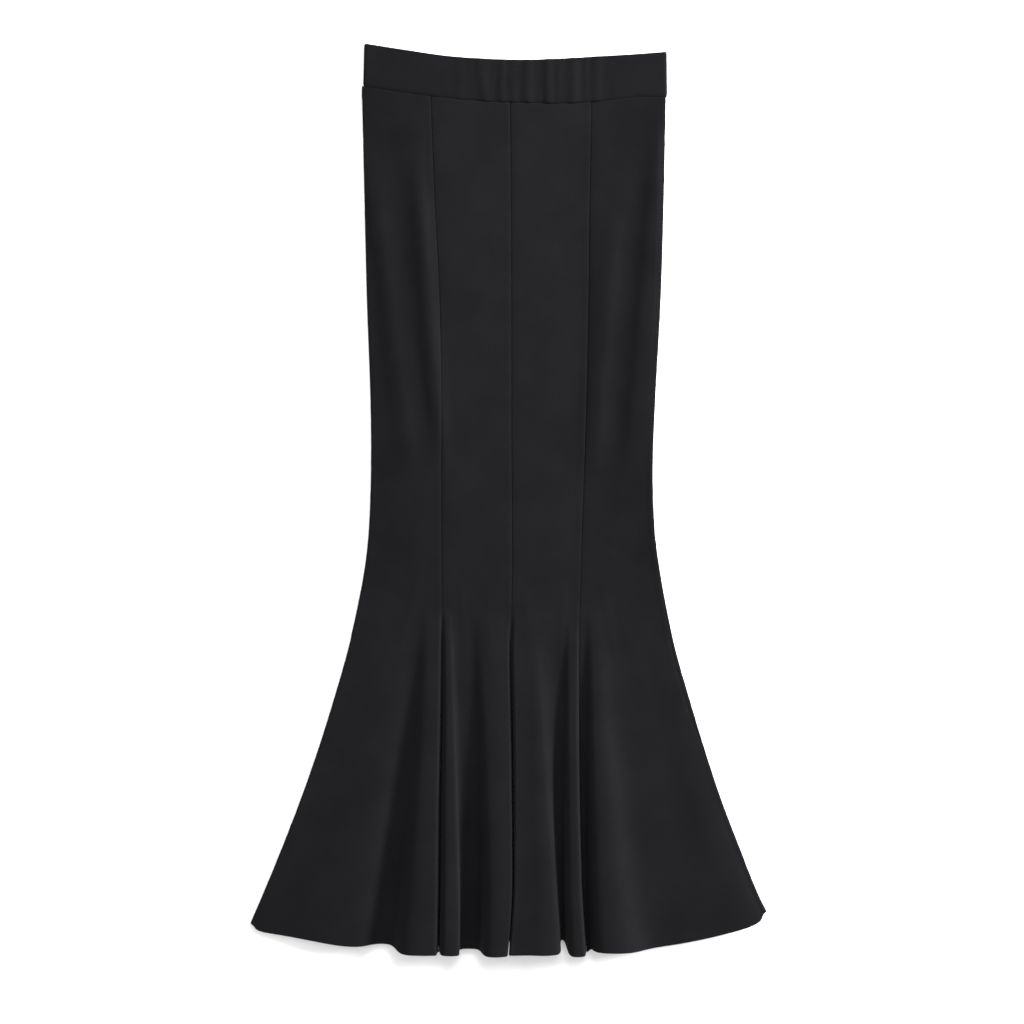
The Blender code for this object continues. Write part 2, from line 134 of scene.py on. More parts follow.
class Wave(NamedTuple):
    """One of the waves that make up a band of uneven ripples."""

    height: float              # share of the ripples' height
    length: float              # length of one radian
    phase: float               # in radians; beside a seam, a share of the seam's own phase
    lean: float = 0.0          # share of the ripples' slant
    lost: float = 0.0          # share of the height that is lost at the bottom


class Groove(NamedTuple):
    """A line that the elastic's edge or one of its channels draws along the waistband."""

    depth: float               # share of the deepest one
    below: float               # distance below the elastic's upper edge
    half_width: float


@dataclass(frozen=True)
class Drape:
    """A soft crease or hollow that was laid by hand and fades out at both ends."""

    upper: tuple[float, float]
    lower: tuple[float, float]
    half_width: float
    height: float
    end_width: float = 0.65    # share of the half width at the two ends
    fade: float = 0.35         # share of the length over which each end fades out

    def height_at(self, place: np.ndarray) -> np.ndarray:
        """Lift of the cloth, which is widest and highest near the crease's middle.

        Args:
            place: places on the cloth, with x and y first along the last axis.

        Returns:
            The lift at each place.
        """
        run = np.subtract(self.lower, self.upper)
        length = float(np.hypot(*run))
        off = place[..., :2] - np.array(self.upper)
        along = off @ run / length**2
        across = (off[..., 0] * run[1] - off[..., 1] * run[0]) / length
        spread = self.half_width * mix(self.end_width, 1.0, ease(1.0 - np.abs(along - 0.5) * 2.0))
        ends = ease(along / self.fade) * ease((1.0 - along) / self.fade)
        return self.height * ends * bump(across, spread)


LEVELS = (
    Level("waist", 430.0, -154.4, -82.0, 1.4, 87.0, 165.4),
    Level("high_hip", 313.6, -152.1, -77.5, 2.5, 84.9, 163.3),
    Level("hip", 208.6, -149.8, -72.1, 2.7, 83.6, 160.2),
    Level("thigh", 103.6, -146.0, -69.9, 2.9, 81.4, 154.5),
    Level("knee", 30.0, -145.3, -70.3, 3.4, 79.2, 151.8),
    Level("below_knee", -33.0, -147.5, -70.3, 3.7, 77.0, 153.8),
    Level("above_throat", -75.0, -152.0, -70.0, 3.7, 75.7, 159.0),
    Level("throat", -119.0, -160.0, -69.8, 3.0, 74.6, 166.7),
    Level("flare_1", -159.0, -168.8, -69.8, 2.2, 74.1, 175.3),
    Level("flare_2", -211.0, -183.7, -69.8, 3.2, 74.1, 190.1),
    Level("flare_3", -264.0, -200.3, -70.4, 4.2, 74.4, 206.1),
    Level("flare_4", -316.0, -218.5, -71.2, 4.8, 75.1, 223.4),
    Level("flare_5", -369.0, -239.0, -71.7, 4.9, 76.4, 243.7),
    Level("flare_6", -411.0, -256.3, -72.0, 4.6, 77.6, 260.3),
    Level("tips", -446.6, -271.6, -72.6, 2.4, 80.0, 277.5),
    Level("hem", -480.0, -286.0, -73.1, -0.8, 82.4, 294.0),
)
WAIST = (
    WaistPoint(-156.0, 478.0, 433.1),
    WaistPoint(-110.0, 470.8, 425.8),
    WaistPoint(-66.0, 464.4, 420.3),
    WaistPoint(-24.0, 461.2, 416.6),
    WaistPoint(18.0, 460.1, 415.2),
    WaistPoint(60.0, 461.6, 414.4),
    WaistPoint(102.0, 464.1, 417.3),
    WaistPoint(136.0, 466.2, 421.2),
    WaistPoint(168.0, 468.7, 420.8),
)
GATHERS = (
    Gather(-51.0, 0.4, 4.5, -2.0),
    Gather(-27.5, 1.0, 5.5, -7.0),
    Gather(-6.5, 0.8, 4.0, 0.0),
    Gather(5.0, 0.5, 4.5, 1.0),
    Gather(20.5, 1.0, 5.0, 0.0),
    Gather(41.5, 1.3, 5.0, -0.5),
    Gather(52.0, 0.4, 3.5, 0.0),
    Gather(68.0, 1.1, 5.5, 0.5),
    Gather(81.5, 0.4, 3.5, 0.0),
    Gather(92.0, 1.1, 5.5, 0.0),
)
HIP_CREASES = (
    HipCrease("left_outer", -138.5, -112.5, 2.3, 13.0, 10.0, 285.0),
    HipCrease("left_inner", -91.5, -75.0, 3.6, 11.5, 8.5, 275.0),
    HipCrease("right_inner", 112.0, 95.0, 3.3, 16.0, 10.5, 235.0),
    HipCrease("right_outer", 153.0, 133.0, 2.6, 11.0, 17.0, 335.0),
)
FRONT_FOLDS = {
    "front_side_gore_left": (
        Fold("corner", 0.090, 0.050, 0.8, 0.00, -454.0),
        Fold("apron", 0.200, 0.170, 2.2, 0.10, -457.0),
        Fold("rise", 0.320, 0.340, 8.0, 0.10, -462.0),
        Fold("crest_outer", 0.440, 0.500, 10.6, 0.10, -468.0),
        Fold("crest_inner", 0.570, 0.616, 9.6, 0.10, -469.0),
        Fold("trough_outer", 0.650, 0.658, 0.8, 0.00, -467.0),
        Fold("trough_inner", 0.750, 0.770, 0.2, 0.00, -466.0),
        Fold("shoulder_outer", 0.820, 0.800, 22.0, 0.00, -474.5),
        Fold("top", 0.880, 0.882, 25.6, 0.00, -475.0),
        Fold("top_inner", 0.945, 0.980, 24.6, 0.00, -475.0),
        Fold("shoulder_inner", 0.976, 0.991, 24.2, 0.00, -475.0),
        Fold("seam_foot", 0.983, 0.991, 0.3, 0.00, -475.5),
    ),
    "front_centre_gore_left": (
        Fold("seam_foot", 0.018, 0.022, 0.3, 0.00, -475.5),
        Fold("small_shoulder_outer", 0.044, 0.030, 24.2, 0.00, -475.0),
        Fold("small_top", 0.080, 0.130, 25.0, 0.00, -475.5),
        Fold("small_top_inner", 0.097, 0.268, 23.8, 0.00, -475.5),
        Fold("small_shoulder_inner", 0.112, 0.307, 22.2, 0.00, -475.0),
        Fold("trough_outer", 0.165, 0.272, 0.8, 0.00, -472.0),
        Fold("trough_middle", 0.310, 0.420, 0.8, 0.00, -472.0),
        Fold("trough_inner", 0.460, 0.590, 0.8, 0.00, -472.0),
        Fold("shoulder_outer", 0.540, 0.645, 19.0, 0.00, -476.0),
        Fold("rise", 0.680, 0.725, 23.2, 0.00, -477.0),
        Fold("top", 0.800, 0.850, 23.6, 0.00, -477.0),
        Fold("top_inner", 0.915, 0.981, 22.4, 0.03, -476.5),
        Fold("shoulder_inner", 0.962, 0.992, 22.2, 0.03, -476.0),
        Fold("seam_foot", 0.970, 0.979, 0.6, 0.00, -469.0),
    ),
    "front_centre_gore_right": (
        Fold("seam_foot", 0.030, 0.021, 0.6, 0.00, -469.0),
        Fold("shoulder_inner", 0.042, 0.010, 22.8, 0.00, -475.5),
        Fold("top_inner", 0.080, 0.022, 21.4, 0.00, -475.5),
        Fold("top", 0.180, 0.130, 21.6, 0.00, -475.5),
        Fold("hollow", 0.270, 0.280, 22.4, 0.00, -475.0),
        Fold("top_outer", 0.320, 0.430, 24.2, 0.00, -475.5),
        Fold("shoulder_outer", 0.350, 0.590, 23.2, 0.00, -475.0),
        Fold("wall_top", 0.370, 0.680, 20.4, 0.00, -474.0),
        Fold("trough_inner", 0.570, 0.645, 0.6, 0.00, -462.0),
        Fold("trough_outer", 0.790, 0.735, 0.6, 0.00, -462.0),
        Fold("small_shoulder_inner", 0.840, 0.762, 19.5, 0.03, -476.0),
        Fold("small_top", 0.870, 0.835, 23.0, 0.03, -477.0),
        Fold("small_top_outer", 0.936, 0.945, 23.0, 0.03, -476.5),
        Fold("small_shoulder_outer", 0.968, 0.974, 22.6, 0.03, -476.0),
        Fold("seam_foot", 0.985, 0.983, 0.3, 0.00, -475.5),
    ),
    "front_side_gore_right": (
        Fold("seam_foot", 0.016, 0.010, 0.3, 0.00, -475.0),
        Fold("flank", 0.080, 0.026, 0.8, 0.00, -471.0),
        Fold("shoulder_inner", 0.125, 0.038, 19.5, 0.00, -473.0),
        Fold("top", 0.180, 0.125, 22.4, 0.00, -473.5),
        Fold("shoulder_outer", 0.230, 0.220, 20.0, 0.00, -473.5),
        Fold("slope", 0.320, 0.280, 6.8, 0.00, -473.0),
        Fold("trough_inner", 0.420, 0.345, 2.2, 0.00, -470.5),
        Fold("trough_outer", 0.510, 0.450, 1.2, 0.00, -468.0),
        Fold("swell_inner", 0.620, 0.610, 2.6, 0.20, -462.0),
        Fold("swell_outer", 0.730, 0.740, 2.6, 0.20, -456.0),
        Fold("apron", 0.820, 0.860, 3.6, 0.10, -450.0),
        Fold("corner", 0.910, 0.950, 2.6, 0.00, -443.5),
    ),
}
BACK_FOLDS = {
    "back_side_gore_right": BackFold(0.12, 0.094, 18.0, -457.0),
    "back_centre_gore_right": BackFold(0.16, 0.140, 19.0, -459.0),
    "back_centre_gore_left": BackFold(0.84, 0.865, 19.0, -459.0),
    "back_side_gore_left": BackFold(0.905, 0.950, 18.0, -458.0),
}
DRAPES = {
    Face.FRONT: (
        # drag lines that fan out above the throat, where the flare is let in
        Drape((-88.0, -60.0), (-118.0, -176.0), 5.5, 0.30),
        Drape((-97.0, -96.0), (-141.0, -205.0), 7.5, 0.26),
        Drape((-51.0, -78.0), (-43.0, -176.0), 4.5, 0.34),
        Drape((-22.0, -92.0), (-19.0, -196.0), 5.0, 0.28),
        Drape((18.0, -86.0), (23.0, -188.0), 5.5, 0.26),
        Drape((60.0, -84.0), (53.0, -168.0), 4.5, 0.30),
        Drape((95.0, -72.0), (116.0, -184.0), 6.0, 0.32),
        Drape((112.0, -104.0), (153.0, -232.0), 8.0, 0.26),
        # soft swells and hollows of the side gores' aprons
        Drape((-150.0, -214.0), (-207.0, -404.0), 17.0, -0.55),
        Drape((-132.0, -250.0), (-164.0, -430.0), 13.0, 0.40),
        Drape((-176.0, -290.0), (-236.0, -428.0), 14.0, 0.35),
        Drape((150.0, -205.0), (196.0, -436.0), 17.0, -0.60),
        Drape((176.0, -262.0), (236.0, -424.0), 13.0, 0.42),
        Drape((138.0, -300.0), (160.0, -452.0), 12.0, 0.34),
        # the hips, where the cloth pulls towards the side seams
        Drape((-128.0, 424.0), (-104.0, 180.0), 9.0, -0.45),
        Drape((-99.0, 426.0), (-85.0, 120.0), 12.0, 0.90),
        Drape((-147.0, 300.0), (-131.0, 96.0), 8.0, -0.50),
        Drape((-104.0, 196.0), (-84.0, 76.0), 7.0, -0.45),
        Drape((141.0, 420.0), (121.0, 84.0), 12.0, -0.65),
        Drape((-118.0, 10.0), (-128.0, -130.0), 26.0, -0.60),
        Drape((121.0, 30.0), (131.0, -120.0), 24.0, -0.70),
        # fine slack along the centre gores
        Drape((-38.0, 372.0), (-32.0, 120.0), 15.0, 0.22),
        Drape((-30.0, 96.0), (-36.0, -60.0), 12.0, -0.20),
        Drape((44.0, 350.0), (39.0, 40.0), 16.0, 0.24),
    ),
    # the back lies on the floor, so each of its creases lifts a little off it
    Face.BACK: (
        Drape((-128.0, 372.0), (-104.0, 130.0), 12.0, -0.66),
        Drape((-92.0, 120.0), (-80.0, -96.0), 10.0, -0.62),
        Drape((-34.0, 340.0), (-29.0, 60.0), 15.0, -0.48),
        Drape((47.0, 300.0), (36.0, -40.0), 14.0, -0.53),
        Drape((134.0, 352.0), (112.0, 96.0), 13.0, -0.66),
        Drape((-104.0, -120.0), (-166.0, -428.0), 15.0, -0.75),
        Drape((110.0, -128.0), (171.0, -430.0), 16.0, -0.70),
        Drape((-52.0, -150.0), (-58.0, -440.0), 9.0, -0.62),
        Drape((24.0, -160.0), (29.0, -442.0), 9.0, -0.57),
    ),
}
GORE_ORDER = (*FRONT_FOLDS, *BACK_FOLDS)
GORE_SIDES = {
    "side_gore_left": ("left_edge", "left_seam"),
    "centre_gore_left": ("left_seam", "centre_seam"),
    "centre_gore_right": ("centre_seam", "right_seam"),
    "side_gore_right": ("right_seam", "right_edge"),
}
SEAM_HEM_Y = {"left_seam": -475.5, "centre_seam": -461.0, "right_seam": -475.5}
TIP_Y = {"left_edge": -445.5, "right_edge": -433.5}
WAIST_Y = LEVELS[0].y


def columns_of(gore: str) -> tuple[str, str]:
    """Names of the seam or edge on the left and on the right of a gore."""
    return GORE_SIDES[gore.split("_", 1)[1]]


def mix(a: Numbers, b: Numbers, share: Numbers) -> Numbers:
    """Value between a and b; any of them may be an array."""
    return a + (b - a) * share


def ease(share: Numbers) -> Numbers:
    """Smooth step from 0 to 1, for a number or an array."""
    share = np.clip(share, 0.0, 1.0)
    return share * share * (3.0 - 2.0 * share)


def unit(vectors: np.ndarray) -> np.ndarray:
    """Vectors of an array, scaled to length 1 along its last axis."""
    return vectors / np.maximum(np.linalg.norm(vectors, axis=-1, keepdims=True), TINY)


def bump(distance: np.ndarray, half_width: Numbers) -> np.ndarray:
    """Soft ridge of height 1 across a distance."""
    return np.exp(-((distance / half_width) ** 2))


class Curve:
    """Smooth curve through a few values, level past its ends."""

    def __init__(self, keys: Sequence[float], values: Sequence[float]) -> None:
        """Sort the pairs and work out a slope at each.

        Args:
            keys: where the values are.
            values: one value for each key.
        """
        order = np.argsort(keys)
        self.keys = np.array(keys, float)[order]
        self.values = np.array(values, float)[order]
        spot = np.arange(len(self.keys))
        low = np.maximum(spot - 1, 0)
        high = np.minimum(spot + 1, len(spot) - 1)
        self.slopes = (self.values[high] - self.values[low]) / (self.keys[high] - self.keys[low])

    def __call__(self, at: Numbers) -> Numbers:
        """Read the curve.

        Args:
            at: one place or an array of them.

        Returns:
            The value at each.
        """
        at = np.clip(at, self.keys[0], self.keys[-1])
        i = np.clip(np.searchsorted(self.keys, at) - 1, 0, len(self.keys) - 2)
        span = self.keys[i + 1] - self.keys[i]
        s = (at - self.keys[i]) / span
        return (
            (2 * s**3 - 3 * s**2 + 1) * self.values[i]
            + (s**3 - 2 * s**2 + s) * span * self.slopes[i]
            + (3 * s**2 - 2 * s**3) * self.values[i + 1]
            + (s**3 - s**2) * span * self.slopes[i + 1]
        )


@dataclass
class SkirtForm:
    """The middle surface of the skirt's cloth, the one that its solids have.

    A section is a closed smooth curve round the skirt. It is read at u, which counts its fold
    points, and at v, which runs 0 to 1 from the waist seam to the throat and 1 to 2 to the hem.
    """

    cloth: float = 1.2
    band_wall: float = 2.6
    band_gap: float = 0.8
    seam_gap: float = 0.3
    front_rest: float = 2.6
    edge_rest: float = 2.9     # a little lower than the solid's, whose wall is thicker
    edge_turn: float = 4.0
    throat_y: float = -117.0
    even_y: float = 60.0
    lift_length: float = 70.0
    rise_power: float = 0.9
    corner_drop: float = 3.0
    back_fold_start: float = 0.06
    back_fold_half: float = 2.6
    back_fold_foot: float = 7.0
    back_side_share: float = 0.45
    back_side_hem_y: float = -454.0
    back_seam_hem_y: float = -459.0
    crease_top_y: float = 313.6
    crease_bottom_y: float = 103.6
    crease_fade: float = 95.0
    roll_top_y: float = -50.0
    roll_bottom_y: float = -340.0
    roll_least: float = 0.25
    roll_most: float = 1.9
    probe: float = 0.01
    starts: list[int] = field(default_factory=list)

    def __post_init__(self) -> None:
        """Make the curves of the outline, the seams and the waist, and find where each gore starts."""
        ys = [row.y for row in LEVELS]
        self.lines = {
            name: Curve(ys, [getattr(row, name) for row in LEVELS])
            for name in Level._fields if name not in ("name", "y")}
        xs = [row.x for row in WAIST]
        self.top_y = Curve(xs, [row.top_y for row in WAIST])
        self.seam_y = Curve(xs, [row.seam_y for row in WAIST])
        self.waist_section = self.section(np.zeros(1))

    @property
    def band_front(self) -> float:
        """Height of the middle of the waistband's front wall."""
        return self.band_wall * 1.5 + self.band_gap

    def level(self, column: str, y: Numbers) -> Numbers:
        """Place across of the outline or of a seam at y; the edges are those of the cloth's middle."""
        inward = {"left_edge": self.cloth / 2, "right_edge": -self.cloth / 2}.get(column, 0.0)
        return self.lines[column](y) + inward

    def row_y(self, v: np.ndarray, seam_y: Numbers, hem_y: float) -> np.ndarray:
        """Place lengthwise at v, for a line that runs from seam_y to hem_y."""
        upper = mix(seam_y, self.throat_y, v)
        return np.where(v <= 1.0, upper, mix(self.throat_y, hem_y, v - 1.0))

    def waist_seam_y(self, x: Numbers) -> Numbers:
        """The gores' top edge under the waistband."""
        return self.seam_y(x) - self.seam_gap / 2

    def rise(self, v: np.ndarray, start: float) -> np.ndarray:
        """Share of its height that a fold has reached at v."""
        return np.maximum((v - 1.0 - start) / (1.0 - start), 0.0) ** self.rise_power

    def rest_height(self, y: np.ndarray, x: np.ndarray) -> np.ndarray:
        """Height of the front cloth's middle where it lies on the back."""
        near = ease(1.0 - (self.waist_seam_y(x) - y) / self.lift_length)
        return mix(self.front_rest, self.band_front, near)

    def gore_xy(self, gore: str, v: np.ndarray, fold: Fold | BackFold, even: float,
                shift: float = 0.0) -> tuple[np.ndarray, np.ndarray]:
        """Place of a point of a gore that keeps its share of the width between the seams.

        Args:
            gore: name of the gore.
            v: levels.
            fold: the shares of the width at throat and hem, and where the hem lies.
            even: the share at the waist.
            shift: move across.

        Returns:
            x and y, one value for each level.
        """
        left, right = columns_of(gore)
        x_waist = mix(self.level(left, WAIST_Y), self.level(right, WAIST_Y), even)
        y = self.row_y(v, self.waist_seam_y(x_waist + shift), fold.hem_y)
        upper = mix(fold.throat, even, ease((y - self.throat_y) / (self.even_y - self.throat_y)))
        share = np.where(v > 1.0, mix(fold.throat, fold.hem, v - 1.0), upper)
        return mix(self.level(left, y), self.level(right, y), share) + shift, y

    def front_points(self, gore: str, v: np.ndarray) -> list[np.ndarray]:
        """Fold points of a front gore, without its seams.

        Args:
            gore: name of the gore.
            v: levels.

        Returns:
            The points from left to right, each levels x 3.
        """
        folds = FRONT_FOLDS[gore]
        points = []
        for i, fold in enumerate(folds):
            x, y = self.gore_xy(gore, v, fold, (i + 1) / (len(folds) + 1))
            z = self.rest_height(y, x) + fold.height * self.rise(v, fold.start)
            points.append(np.stack((x, y, z), axis=-1))
        return points

    def back_points(self, gore: str, v: np.ndarray) -> list[np.ndarray]:
        """Points of a back gore, without its seams.

        Args:
            gore: name of the gore.
            v: levels.

        Returns:
            The points from left to right, each levels x 3.
        """
        fold = BACK_FOLDS[gore]
        height = fold.height * self.rise(v, self.back_fold_start)
        flat = np.full_like(v, self.cloth / 2)
        foot, half = self.back_fold_foot, self.back_fold_half
        points = []
        for shift, z in ((-foot, flat), (-half, flat), (-half, flat + height),
                         (half, flat + height), (half, flat), (foot, flat)):
            x, y = self.gore_xy(gore, v, fold, fold.throat, shift)
            points.append(np.stack((x, y, z), axis=-1))
        if "side" in gore:
            share = self.back_side_share if "left" in gore else 1.0 - self.back_side_share
            plain = BackFold(share, share, 0.0, self.back_side_hem_y)
            x, y = self.gore_xy(gore, v, plain, share)
            points.insert(0 if "left" in gore else len(points), np.stack((x, y, flat), axis=-1))
        return points

    def seam_point(self, v: np.ndarray, column: str, hem_y: float, on_back: bool = False) -> np.ndarray:
        """Point of a lengthwise seam or a side edge.

        Args:
            v: levels.
            column: name of the seam or edge.
            hem_y: where it ends.
            on_back: whether it lies on the back, and not at the front's rest height.

        Returns:
            Its place at each level, levels x 3.
        """
        y = self.row_y(v, self.waist_seam_y(self.level(column, WAIST_Y)), hem_y)
        x = self.level(column, y)
        z = np.full_like(v, self.cloth / 2) if on_back else self.rest_height(y, x)
        return np.stack((x, y, z), axis=-1)

    def side_points(self, v: np.ndarray, side: Side) -> list[np.ndarray]:
        """Points of the turn at a side edge.

        Args:
            v: levels.
            side: which edge.

        Returns:
            Front inner, front edge, seam, back edge and back inner point, each levels x 3.
        """
        column = side.value + "_edge"
        inward = self.edge_turn if side is Side.LEFT else -self.edge_turn
        middle = self.seam_point(v, column, TIP_Y[column])
        drop = -self.corner_drop * np.maximum(v - 1.0, 0.0)
        top = np.maximum(middle[:, 2], self.edge_rest)
        flat = np.full_like(v, self.cloth / 2)
        zero = np.zeros_like(v)
        turn = ((inward, drop, top), (0.0, zero, top), (0.0, zero, (top + flat) / 2),
                (0.0, zero, flat), (inward, drop, flat))
        return [np.stack((middle[:, 0] + dx, middle[:, 1] + dy, z), axis=-1) for dx, dy, z in turn]

    def section(self, v: np.ndarray) -> np.ndarray:
        """Fold points round the skirt; it also notes where each gore starts among them.

        Args:
            v: levels.

        Returns:
            levels x points x 3.
        """
        left_turn = self.side_points(v, Side.LEFT)
        right_turn = self.side_points(v, Side.RIGHT)
        points = [left_turn[2], left_turn[1], left_turn[0]]
        starts = [0]
        for gore in FRONT_FOLDS:
            points += self.front_points(gore, v)
            right = columns_of(gore)[1]
            if right == "right_edge":
                points += right_turn[:2]
                starts.append(len(points))
                points += right_turn[2:]
            else:
                starts.append(len(points))
                points.append(self.seam_point(v, right, SEAM_HEM_Y[right]))
        for gore in BACK_FOLDS:
            points += reversed(self.back_points(gore, v))
            left = columns_of(gore)[0]
            if left == "left_edge":
                points += [left_turn[4], left_turn[3]]
            else:
                starts.append(len(points))
                points.append(self.seam_point(v, left, self.back_seam_hem_y, on_back=True))
        self.starts = [*starts, len(points)]
        return np.stack(points, axis=1)

    def spline(self, sections: np.ndarray, u: np.ndarray) -> np.ndarray:
        """Points of the closed cubic B-splines through the sections' fold points.

        Args:
            sections: levels x points x 3.
            u: levels x columns.

        Returns:
            levels x columns x 3.
        """
        i = np.floor(u).astype(int)
        s = (u - i)[..., None]
        weights = ((1 - s) ** 3, 3 * s**3 - 6 * s**2 + 4, -3 * s**3 + 3 * s**2 + 3 * s + 1, s**3)
        rows = np.arange(len(sections))[:, None]
        count = sections.shape[1]
        return sum(sections[rows, (i - 1 + k) % count] * w / 6.0 for k, w in enumerate(weights))

    def points(self, u: np.ndarray, v: np.ndarray) -> np.ndarray:
        """Middle of the cloth, with the hip creases.

        Args:
            u: levels x columns.
            v: levels.

        Returns:
            levels x columns x 3.
        """
        place = self.spline(self.section(v), u)
        waist = self.spline(np.repeat(self.waist_section, len(v), axis=0), u)
        upper_y = mix(self.waist_seam_y(waist[..., 0]), self.throat_y, v[:, None])
        place[..., 1] = np.where(v[:, None] < 1.0, upper_y, place[..., 1])
        on_front = (u > 0.0) & (u < self.starts[len(FRONT_FOLDS)])
        place[..., 2] += np.where(on_front, self.hip_creases(place[..., 0], place[..., 1]), 0.0)
        return place

    def hip_creases(self, x: np.ndarray, y: np.ndarray) -> np.ndarray:
        """Height of the soft crests of the side gores.

        Args:
            x: places across.
            y: places lengthwise.

        Returns:
            The height at each place.
        """
        down = (self.crease_top_y - y) / (self.crease_top_y - self.crease_bottom_y)
        window = ease((y - self.crease_bottom_y + self.crease_fade) / self.crease_fade)
        window = window * ease((x - self.level("left_edge", y)) / (2 * self.edge_turn))
        window = window * ease((self.level("right_edge", y) - x) / (2 * self.edge_turn))
        height = 0.0
        for crease in HIP_CREASES:
            off = x - mix(crease.x_top, crease.x_bottom, down)
            width = np.where(off < 0.0, crease.left_width, crease.right_width)
            begun = ease((crease.full_y + self.crease_fade - y) / self.crease_fade)
            height = height + crease.height * bump(off / width, 1.0) * begun
        return height * window

    def normals(self, u: np.ndarray, v: np.ndarray) -> np.ndarray:
        """Outward direction of the cloth.

        Args:
            u: levels x columns.
            v: levels.

        Returns:
            levels x columns x 3.
        """
        v_low = np.maximum(v - self.probe, 0.0)
        v_high = np.minimum(v + self.probe, 2.0)
        across = self.points(u + self.probe, v) - self.points(u - self.probe, v)
        along = self.points(u, v_high) - self.points(u, v_low)
        return unit(np.cross(along, across))

    def limits(self, index: int, v: np.ndarray) -> tuple[np.ndarray, np.ndarray]:
        """Where a gore begins and ends; the right side seam rolls onto the front.

        Args:
            index: place of the gore round the skirt.
            v: levels.

        Returns:
            First and last u at each level.
        """
        y = self.row_y(v, self.waist_seam_y(self.level("right_edge", WAIST_Y)), TIP_Y["right_edge"])
        middle = (self.roll_top_y + self.roll_bottom_y) / 2
        reach = (self.roll_top_y - self.roll_bottom_y) / 2
        roll = mix(self.roll_least, self.roll_most, ease(1.0 - np.abs(y - middle) / reach))
        first = self.starts[index] - (roll if index == len(FRONT_FOLDS) else 0.0)
        last = self.starts[index + 1] - (roll if index + 1 == len(FRONT_FOLDS) else 0.0)
        return first * np.ones_like(v), last * np.ones_like(v)


def linear(value: str) -> tuple[float, float, float, float]:
    """Linear colour of an sRGB hex value.

    Args:
        value: the colour, such as #1a1b1d.

    Returns:
        Red, green, blue and alpha, by the curve of the sRGB standard.
    """
    parts = [int(value[i:i + 2], 16) / 255.0 for i in (1, 3, 5)]
    return (*(c / 12.92 if c <= 0.04045 else ((c + 0.055) / 1.055) ** 2.4 for c in parts), 1.0)


def add_node(tree: bpy.types.NodeTree, kind: str, inputs: dict | None = None,
             **settings: object) -> bpy.types.Node:
    """Add a node, with its settings, values and links.

    Args:
        tree: node tree that gets the node.
        kind: the node's type name.
        inputs: for each input's name or number a value, an output to link, or a node whose
            first output is linked.
        **settings: properties of the node itself.

    Returns:
        The new node.
    """
    node = tree.nodes.new(kind)
    for key, value in settings.items():
        setattr(node, key, value)
    for key, value in (inputs or {}).items():
        if isinstance(value, bpy.types.Node):
            tree.links.new(value.outputs[0], node.inputs[key])
        elif isinstance(value, bpy.types.NodeSocket):
            tree.links.new(value, node.inputs[key])
        else:
            node.inputs[key].default_value = value
    return node


def start_material(name: str) -> tuple[bpy.types.Material, bpy.types.NodeSocket]:
    """Start a node material, which keeps its Principled node.

    Args:
        name: what it is made of, and how.

    Returns:
        The material, and each point's place on the piece.
    """
    made = bpy.data.materials.new(name)
    made.use_nodes = True
    return made, add_node(made.node_tree, "ShaderNodeTexCoord").outputs["Object"]


